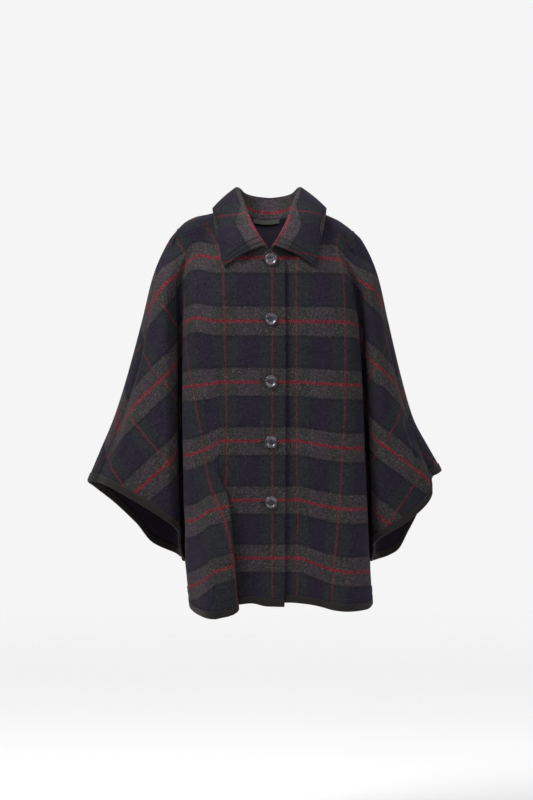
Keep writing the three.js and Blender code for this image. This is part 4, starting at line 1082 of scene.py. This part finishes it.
colour = twist.blend(srgb(15, 14, 19), srgb(38, 35, 44))
thread_bump = start.node("ShaderNodeBump", {}, {"Strength": 0.4, "Distance": 0.0002, "Height": twist})
finish_material(thread, colour, twist * 0.2 + 0.55, thread_bump, {"Sheen Weight": 0.1})


def plain_piece(name, verts, faces, material):
    mesh = bpy.data.meshes.new(name)
    mesh.from_pydata((np.asarray(verts) * 0.001).tolist(), [], faces)
    mesh.polygons.foreach_set("use_smooth", [True] * len(faces))
    mesh.materials.append(material)
    piece = bpy.data.objects.new(name, mesh)
    bpy.context.scene.collection.objects.link(piece)
    return piece


def disc_of(radii, profile, wells):
    """A turned disc: rings of 72 points, its face with round wells."""
    around = 72
    verts, faces = [(0, 0, profile(0))], []
    for r in radii:
        for k in range(around):
            a = 2 * math.pi * k / around
            x, y = r * math.cos(a), r * math.sin(a)
            h = float(profile(r))
            for wx, wy in wells:
                d = math.hypot(x - wx, y - wy)
                h -= 2.1 * float(smooth(HOLE_RADIUS + 0.12, HOLE_RADIUS - 0.2, d))
            verts.append((x, y, h))
    rings = len(radii)
    low = [(r, h) for r, h in ((12.0, 1.2), (11.2, 0.55), (9.6, 0.0), (5.0, 0.0))]
    for r, h in low:
        verts += [(r * math.cos(2 * math.pi * k / around), r * math.sin(2 * math.pi * k / around), h)
                  for k in range(around)]
    verts.append((0, 0, 0))
    for k in range(around):
        m = (k + 1) % around
        faces.append([0, 1 + k, 1 + m])
        for i in range(rings + len(low) - 1):
            a, b = 1 + i * around, 1 + (i + 1) * around
            faces.append([a + k, b + k, b + m, a + m])
        a = 1 + (rings + len(low) - 1) * around
        faces.append([a + m, a + k, len(verts) - 1])
    return np.array(verts), faces


def bar_of(a, b, radius, rise):
    """A strand of thread that arches from a to b and goes down at both ends."""
    steps, around = 10, 8
    a, b = np.array(a, float), np.array(b, float)
    path = np.array([mix(a, b, t) + [0, 0, rise * math.sin(math.pi * t) ** 0.6] for t in
                     np.linspace(0, 1, steps + 1)])
    path[0, 2] -= 1.2
    path[-1, 2] -= 1.2
    side_way = np.cross(b - a, [0, 0, 1])
    side_way = side_way / np.linalg.norm(side_way)
    up = np.array([0, 0, 1.0])
    verts, faces = [], []
    for p in path:
        verts += [p + radius * (side_way * math.cos(c) + up * math.sin(c)) for c in
                  np.linspace(0, 2 * math.pi, around, endpoint=False)]
    for i in range(steps):
        for k in range(around):
            m = (k + 1) % around
            faces.append([i * around + k, i * around + m, (i + 1) * around + m, (i + 1) * around + k])
    faces.append(list(range(around))[::-1])
    faces.append([steps * around + k for k in range(around)])
    return np.array(verts), faces


radii = np.concatenate([np.arange(0.35, 4.6, 0.28), np.linspace(4.8, 11.4, 16),
                        [11.65, 11.85, 12.0, 12.12, 12.2]])
wells = [(sx * HOLE_PLACE, sy * HOLE_PLACE) for sx in (1, -1) for sy in (1, -1)]
disc, disc_faces = disc_of(radii, button_face, wells)
button_tops = []
for number, z in enumerate(BUTTON_Z, 1):
    slope = (front_y("right", BUTTON_X, z + 10) - front_y("right", BUTTON_X, z - 10)) / 20
    tilt = math.pi / 2 - math.atan(slope)
    lo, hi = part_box(f"button_{number}")
    middle = (np.array(lo) + np.array(hi)) * 500
    turn = np.array([[1, 0, 0], [0, math.cos(tilt), -math.sin(tilt)],
                     [0, math.sin(tilt), math.cos(tilt)]])
    spin = math.radians((0, 7, -5, 11, 3)[number - 1])
    spin = np.array([[math.cos(spin), -math.sin(spin), 0], [math.sin(spin), math.cos(spin), 0],
                     [0, 0, 1]])
    at = middle - turn @ np.array([0, 0, 2.1])
    piece = plain_piece(f"horn_button_{number}", disc @ (turn @ spin).T + at, disc_faces, horn)
    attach(piece, "root")
    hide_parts(f"button_{number}")
    verts, faces = np.zeros((0, 3)), []
    for row in (1, -1):
        for strand in (-0.42, 0, 0.42):
            v, f = bar_of((-HOLE_PLACE, row * HOLE_PLACE + strand, 2.4),
                          (HOLE_PLACE, row * HOLE_PLACE + strand, 2.4), 0.27, 0.55)
            faces += [[k + len(verts) for k in face] for face in f]
            verts = np.concatenate([verts, v])
    sewing = plain_piece(f"button_thread_{number}", verts @ (turn @ spin).T + at, faces, thread)
    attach(sewing, "root")
    button_tops.append((at, turn))


# Topstitching, buttonholes and the binding's stitching: navy thread, each stitch its own short
# strand sunk a little into the wool, in two rows along the shoulder and arm seams and the collar.
def stitch_tree(name, material):
    """Puts one strand at each point, along its along attribute and standing on its out one."""
    tree = bpy.data.node_groups.new(name, "GeometryNodeTree")
    tree.interface.new_socket("Points", in_out="INPUT", socket_type="NodeSocketGeometry")
    tree.interface.new_socket("Strand length", in_out="INPUT", socket_type="NodeSocketFloat")
    tree.interface.new_socket("Strand radius", in_out="INPUT", socket_type="NodeSocketFloat")
    tree.interface.new_socket("Stitches", in_out="OUTPUT", socket_type="NodeSocketGeometry")

    def node(kind, **settings):
        made = tree.nodes.new(kind)
        for key, value in settings.items():
            setattr(made, key, value)
        return made
    given, result = node("NodeGroupInput"), node("NodeGroupOutput")
    along = node("GeometryNodeInputNamedAttribute", data_type="FLOAT_VECTOR")
    along.inputs["Name"].default_value = "along"
    out = node("GeometryNodeInputNamedAttribute", data_type="FLOAT_VECTOR")
    out.inputs["Name"].default_value = "out"
    aim = node("FunctionNodeAlignRotationToVector", axis="X")
    stand = node("FunctionNodeAlignRotationToVector", axis="Z", pivot_axis="X")
    tree.links.new(along.outputs[0], aim.inputs["Vector"])
    tree.links.new(aim.outputs[0], stand.inputs["Rotation"])
    tree.links.new(out.outputs[0], stand.inputs["Vector"])
    ball = node("GeometryNodeMeshUVSphere")
    ball.inputs["Segments"].default_value = 6
    ball.inputs["Rings"].default_value = 5
    ball.inputs["Radius"].default_value = 1.0
    turn = node("GeometryNodeTransform")
    turn.inputs["Rotation"].default_value = (0, math.pi / 2, 0)
    size = node("ShaderNodeCombineXYZ")
    half = node("ShaderNodeMath", operation="MULTIPLY")
    half.inputs[1].default_value = 0.5
    tree.links.new(given.outputs["Strand length"], half.inputs[0])
    tree.links.new(half.outputs[0], size.inputs[0])
    tree.links.new(given.outputs["Strand radius"], size.inputs[1])
    tree.links.new(given.outputs["Strand radius"], size.inputs[2])
    place = node("GeometryNodeInstanceOnPoints")
    tree.links.new(given.outputs["Points"], place.inputs["Points"])
    tree.links.new(ball.outputs[0], turn.inputs[0])
    tree.links.new(turn.outputs[0], place.inputs["Instance"])
    tree.links.new(stand.outputs[0], place.inputs["Rotation"])
    tree.links.new(size.outputs[0], place.inputs["Scale"])
    real = node("GeometryNodeRealizeInstances")
    paint = node("GeometryNodeSetMaterial")
    paint.inputs["Material"].default_value = material
    tree.links.new(place.outputs[0], real.inputs[0])
    tree.links.new(real.outputs[0], paint.inputs[0])
    tree.links.new(paint.outputs[0], result.inputs[0])
    return tree


def line_points(path, normals, pitch):
    """Even places on a path, with its direction and the cloth's normal there."""
    step = np.linalg.norm(np.diff(path, axis=0), axis=1)
    far = np.concatenate([[0], np.cumsum(step)])
    places = np.arange(pitch * 0.75, far[-1] - pitch * 0.5, pitch)
    at = np.stack([np.interp(places, far, path[:, k]) for k in range(3)], 1)
    ahead = np.stack([np.interp(places + 0.6, far, path[:, k]) for k in range(3)], 1)
    out = np.stack([np.interp(places, far, normals[:, k]) for k in range(3)], 1)
    return at, ahead - at, out


def sew(name, lines, length, radius, tree):
    """One piece of thread stitches from lines of (points, directions, normals)."""
    at, along, out = (np.concatenate([line[k] for line in lines]) for k in range(3))
    mesh = bpy.data.meshes.new(name)
    mesh.from_pydata((at * 0.001).tolist(), [], [])
    for key, values in (("along", along), ("out", out)):
        layer = mesh.attributes.new(key, "FLOAT_VECTOR", "POINT")
        layer.data.foreach_set("vector", values.astype(np.float32).ravel())
    piece = bpy.data.objects.new(name, mesh)
    bpy.context.scene.collection.objects.link(piece)
    modifier = piece.modifiers.new("stitches", "NODES")
    modifier.node_group = tree
    sockets = {item.name: item.identifier for item in tree.interface.items_tree
               if item.in_out == "INPUT"}
    modifier[sockets["Strand length"]] = length * 0.001
    modifier[sockets["Strand radius"]] = radius * 0.001
    bpy.context.view_layer.update()
    done = bpy.data.meshes.new_from_object(piece.evaluated_get(bpy.context.evaluated_depsgraph_get()))
    piece.modifiers.clear()
    piece.data = done
    done.name = name
    done.polygons.foreach_set("use_smooth", [True] * len(done.polygons))
    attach(piece, "root")
    return piece


def row_inside(P, N, distance, columns, lift):
    """Points a distance below the first row of a grid's columns, on its outer face."""
    path, normals = [], []
    for i in columns:
        far = np.concatenate([[0], np.cumsum(np.linalg.norm(np.diff(P[i], axis=0), axis=1))])
        path.append([np.interp(distance, far, P[i, :, k]) for k in range(3)])
        normals.append([np.interp(distance, far, N[i, :, k]) for k in range(3)])
    path, normals = np.array(path), np.array(normals)
    normals /= np.linalg.norm(normals, axis=1, keepdims=True)
    return path + normals * lift, normals


thread_tree = stitch_tree("topstitch", thread)
SEAM_ROWS, STITCH = (4.5, 11.5), 4.2
seam_lines, collar_lines, tape_lines = [], [], []
for side in (right, left):
    name, flip = side["name"], side["sign"] > 0
    P = fronts[name]["upper"]
    N = grid_normals(P) * (-1 if flip else 1)
    us = np.array(front_u)
    lift = WALL / 2 + 0.05
    for distance in SEAM_ROWS:
        across = P.transpose(1, 0, 2)[:, ::-1], N.transpose(1, 0, 2)[:, ::-1]
        down_arm, arm_normals = row_inside(*across, distance, range(4, P.shape[1]), lift)
        keep = [i for i, u in enumerate(us) if 74 <= u <= 446]
        over, over_normals = row_inside(P, N, distance, keep, lift)
        seam_lines.append(line_points(down_arm, arm_normals, STITCH))
        seam_lines.append(line_points(over, over_normals, STITCH))
    C = collar_grids[name]
    CN = grid_normals(C) * (-1 if side["sign"] < 0 else 1)
    for distance in (5.0, 10.0):
        edge_path, edge_normals = row_inside(C[:, ::-1], CN[:, ::-1], distance, range(3, len(C)),
                                             COLLAR_WALL / 2 + 0.05)
        ends = C.transpose(1, 0, 2), CN.transpose(1, 0, 2)
        end_path, end_normals = row_inside(*ends, distance, range(STAND_ROWS + 2, C.shape[1] - 3),
                                           COLLAR_WALL / 2 + 0.05)
        collar_lines += [line_points(edge_path, edge_normals, STITCH),
                         line_points(end_path, end_normals, STITCH)]
for strip, N in tapes.values():
    lift = WALL / 2 + TAPE_GAP + TAPE + 0.05
    tape_lines.append(line_points(strip[:, 0] * 0.8 + strip[:, 1] * 0.2 + N[:, 0] * lift, N[:, 0], 3.4))
sew("topstitch_seams", seam_lines, 3.1, 0.32, thread_tree)
sew("topstitch_collar", collar_lines, 3.1, 0.32, thread_tree)
sew("topstitch_tapes", tape_lines, 2.5, 0.26, thread_tree)
hole_lines = []
slit_shade_verts, slit_shade_faces = np.zeros((0, 3)), []
HOLE_FROM, HOLE_TO = -18.5, 8.0
for (at, turn), z in zip(button_tops, BUTTON_Z):
    def on_cloth(x, dz):
        return np.array([x, front_y("right", x, z + dz) - WALL / 2 - 0.15, z + dz])
    points, ways = [], []
    for dz in (1.5, -1.5):
        for x in np.arange(HOLE_FROM, HOLE_TO, 0.85):
            points.append(on_cloth(x, dz))
            ways.append((0.12, 0, 1))
    for a in np.linspace(0.35, math.pi - 0.35, 5):
        points.append(on_cloth(HOLE_FROM - 1.3 * math.sin(a), 1.5 * math.cos(a)))
        ways.append((-math.sin(a), 0, math.cos(a)))
    hole_lines.append((np.array(points), np.array(ways, float),
                       np.tile([0, -1.0, 0], (len(points), 1))))
    # painted shade: a thin dark sheet along each buttonhole, for the shade inside the cut
    xs = np.linspace(HOLE_FROM, HOLE_TO, 15)
    top = np.array([on_cloth(x, 0.62) for x in xs]) + [0, 0.02, 0]
    low = np.array([on_cloth(x, -0.62) for x in xs]) + [0, 0.02, 0]
    n, m = len(slit_shade_verts), len(xs)
    shell = np.concatenate([top, low, top + [0, 0.5, 0], low + [0, 0.5, 0]])
    for k in range(m - 1):
        slit_shade_faces += [[n + k, n + m + k, n + m + k + 1, n + k + 1],
                       [n + 2 * m + k + 1, n + 3 * m + k + 1, n + 3 * m + k, n + 2 * m + k],
                       [n + k + 1, n + 2 * m + k + 1, n + 2 * m + k, n + k],
                       [n + m + k, n + 3 * m + k, n + 3 * m + k + 1, n + m + k + 1]]
    slit_shade_faces += [[n, n + 2 * m, n + 3 * m, n + m],
                   [n + m - 1, n + 2 * m - 1, n + 4 * m - 1, n + 3 * m - 1]]
    slit_shade_verts = np.concatenate([slit_shade_verts, shell])
sew("buttonhole_stitches", hole_lines, 2.3, 0.42, thread_tree)
# painted shade: the near-black colour of the sheets in the buttonholes stands in for the shade inside the
# cuts
shadow, start = new_material("buttonhole_painted_shade")
place = start.node("ShaderNodeTexCoord", out=3)
colour = place.noise(900.0).blend(srgb(8, 7, 11), srgb(16, 14, 20))
finish_material(shadow, colour, 0.95, None, {"Specular IOR Level": 0.05})
slit_shade_sheets = plain_piece("buttonhole_shade_sheets", slit_shade_verts, slit_shade_faces, shadow)
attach(slit_shade_sheets, "root")


# Hanging loop: a narrow band of the coat's own grey-green wool inside the back neck, sewn down at
# both ends just under the collar.
neck_wool = plain_wool("grey_green_wool", srgb(58, 60, 56))


def back_inside(x, z):
    """Depth of the back's inner face, seen from the front."""
    P = np.concatenate([back_parts[n]["upper"].reshape(-1, 3) for n in ("right", "left")])
    near = (np.abs(P[:, 0] - x) < 5) & (np.abs(P[:, 2] - z) < 5) & (P[:, 1] > 20)
    return (P[near, 1].min() if near.any() else 70.0) - WALL / 2


LOOP_HALF, LOOP_HEIGHT, LOOP_WALL, LOOP_Z = 26, 8, 1.6, 2
loop_grid = []
for t in np.linspace(-1, 1, 41):
    x, bow_out = -6 + t * LOOP_HALF, 1 - t * t
    away, sag = 1.2 + 6 * bow_out, 3 * bow_out
    y = min(back_inside(x, LOOP_Z - sag), back_inside(x, LOOP_Z - sag + LOOP_HEIGHT)) - away
    loop_grid.append([(x, y + 0.5 * math.cos(k * math.pi), LOOP_Z - sag + k * LOOP_HEIGHT)
                      for k in np.linspace(1, 0, 7)])
loop_grid = np.array(loop_grid)
loop_cloth = Cloth()
loop_cloth.add(loop_grid, loop_grid[..., [0, 2]], np.full(loop_grid.shape[:2] + (2,), 500.0), False)
loop_piece = wall_mesh("loop_band", loop_cloth, LOOP_WALL, 0.5, [neck_wool, neck_wool])
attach(loop_piece, "root")
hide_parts("hanging_loop")


# Floor, light and camera: a plain pale studio, seen from straight in front of the coat.
floor_mesh = bpy.data.meshes.new("floor")
FLOOR_RADIUS, FLOOR_Z = 30, -1.25
ring = [(FLOOR_RADIUS * math.cos(a), FLOOR_RADIUS * math.sin(a), FLOOR_Z)
        for a in np.linspace(0, 2 * math.pi, 64, endpoint=False)]
floor_mesh.from_pydata(ring, [], [list(range(64))])
floor = bpy.data.objects.new("floor", floor_mesh)
bpy.context.scene.collection.objects.link(floor)
pale, start = new_material("pale_floor")
place = start.node("ShaderNodeTexCoord", out=3)
fleck = place.noise(1.5).blend((0.9, 0.9, 0.9, 1), (0.92, 0.92, 0.92, 1))
finish_material(pale, fleck, 0.9, None, {"Specular IOR Level": 0.0})
far_out = place.node("ShaderNodeVectorMath", {"operation": "LENGTH"}, {0: place}, 1)
shown = place.node("ShaderNodeMapRange", {"interpolation_type": "SMOOTHSTEP"}, {
    0: far_out, 1: 1.2, 2: 6.0, 3: 1.0, 4: 0.0})
pale.node_tree.links.new(shown.socket, pale.node_tree.nodes["Principled BSDF"].inputs["Alpha"])
floor_mesh.materials.append(pale)
world = bpy.data.worlds.new("studio")
bpy.context.scene.world = world
world.use_nodes = True
sky = Dye(world.node_tree)
way = sky.node("ShaderNodeTexCoord", out=0)
height = Dye(way.tree, way.node("ShaderNodeSeparateXYZ", {}, {0: way}, 2).socket)
dome = height.node("ShaderNodeMapRange", {"interpolation_type": "SMOOTHSTEP"}, {
    0: height, 1: 0.0, 2: 0.9, 3: 0.06, 4: 1.1})
seen = sky.node("ShaderNodeLightPath")
level = dome + (0.915 - dome) * seen
world.node_tree.links.new(level.socket, world.node_tree.nodes["Background"].inputs[0])
bpy.context.scene.view_settings.view_transform = "Standard"
bpy.context.scene.view_settings.look = "None"


def soft_box(name, place, aim, size, power):
    light = bpy.data.lights.new(name, "AREA")
    light.shape, light.size, light.energy = "DISK", size, power
    lamp = bpy.data.objects.new(name, light)
    bpy.context.scene.collection.objects.link(lamp)
    way = np.array(aim, float) - np.array(place, float)
    lamp.location = place
    lamp.rotation_euler = Vector(way).to_track_quat("-Z", "Y").to_euler()


soft_box("key", (-1.3, -1.0, 1.25), (0, 0, -0.2), 0.9, 44)
soft_box("fill", (1.8, -1.7, 0.9), (0, 0, -0.3), 1.4, 15)
spot = bpy.data.lights.new("neck", "SPOT")
spot.energy, spot.spot_size, spot.spot_blend, spot.shadow_soft_size = 105, math.radians(5.5), 0.7, 0.05
neck_lamp = bpy.data.objects.new("neck", spot)
bpy.context.scene.collection.objects.link(neck_lamp)
neck_lamp.location = (0, -1.5, 0.32)
neck_lamp.rotation_euler = (math.radians(90 - 12), 0, 0)
camera_data = bpy.data.cameras.new("camera")
camera_data.lens, camera_data.sensor_width = 112.5, 36
camera = bpy.data.objects.new("camera", camera_data)
bpy.context.scene.collection.objects.link(camera)
camera.location = (-0.006, -5.0, -0.356)
camera.rotation_euler = (math.pi / 2, 0, 0)
bpy.context.scene.camera = camera
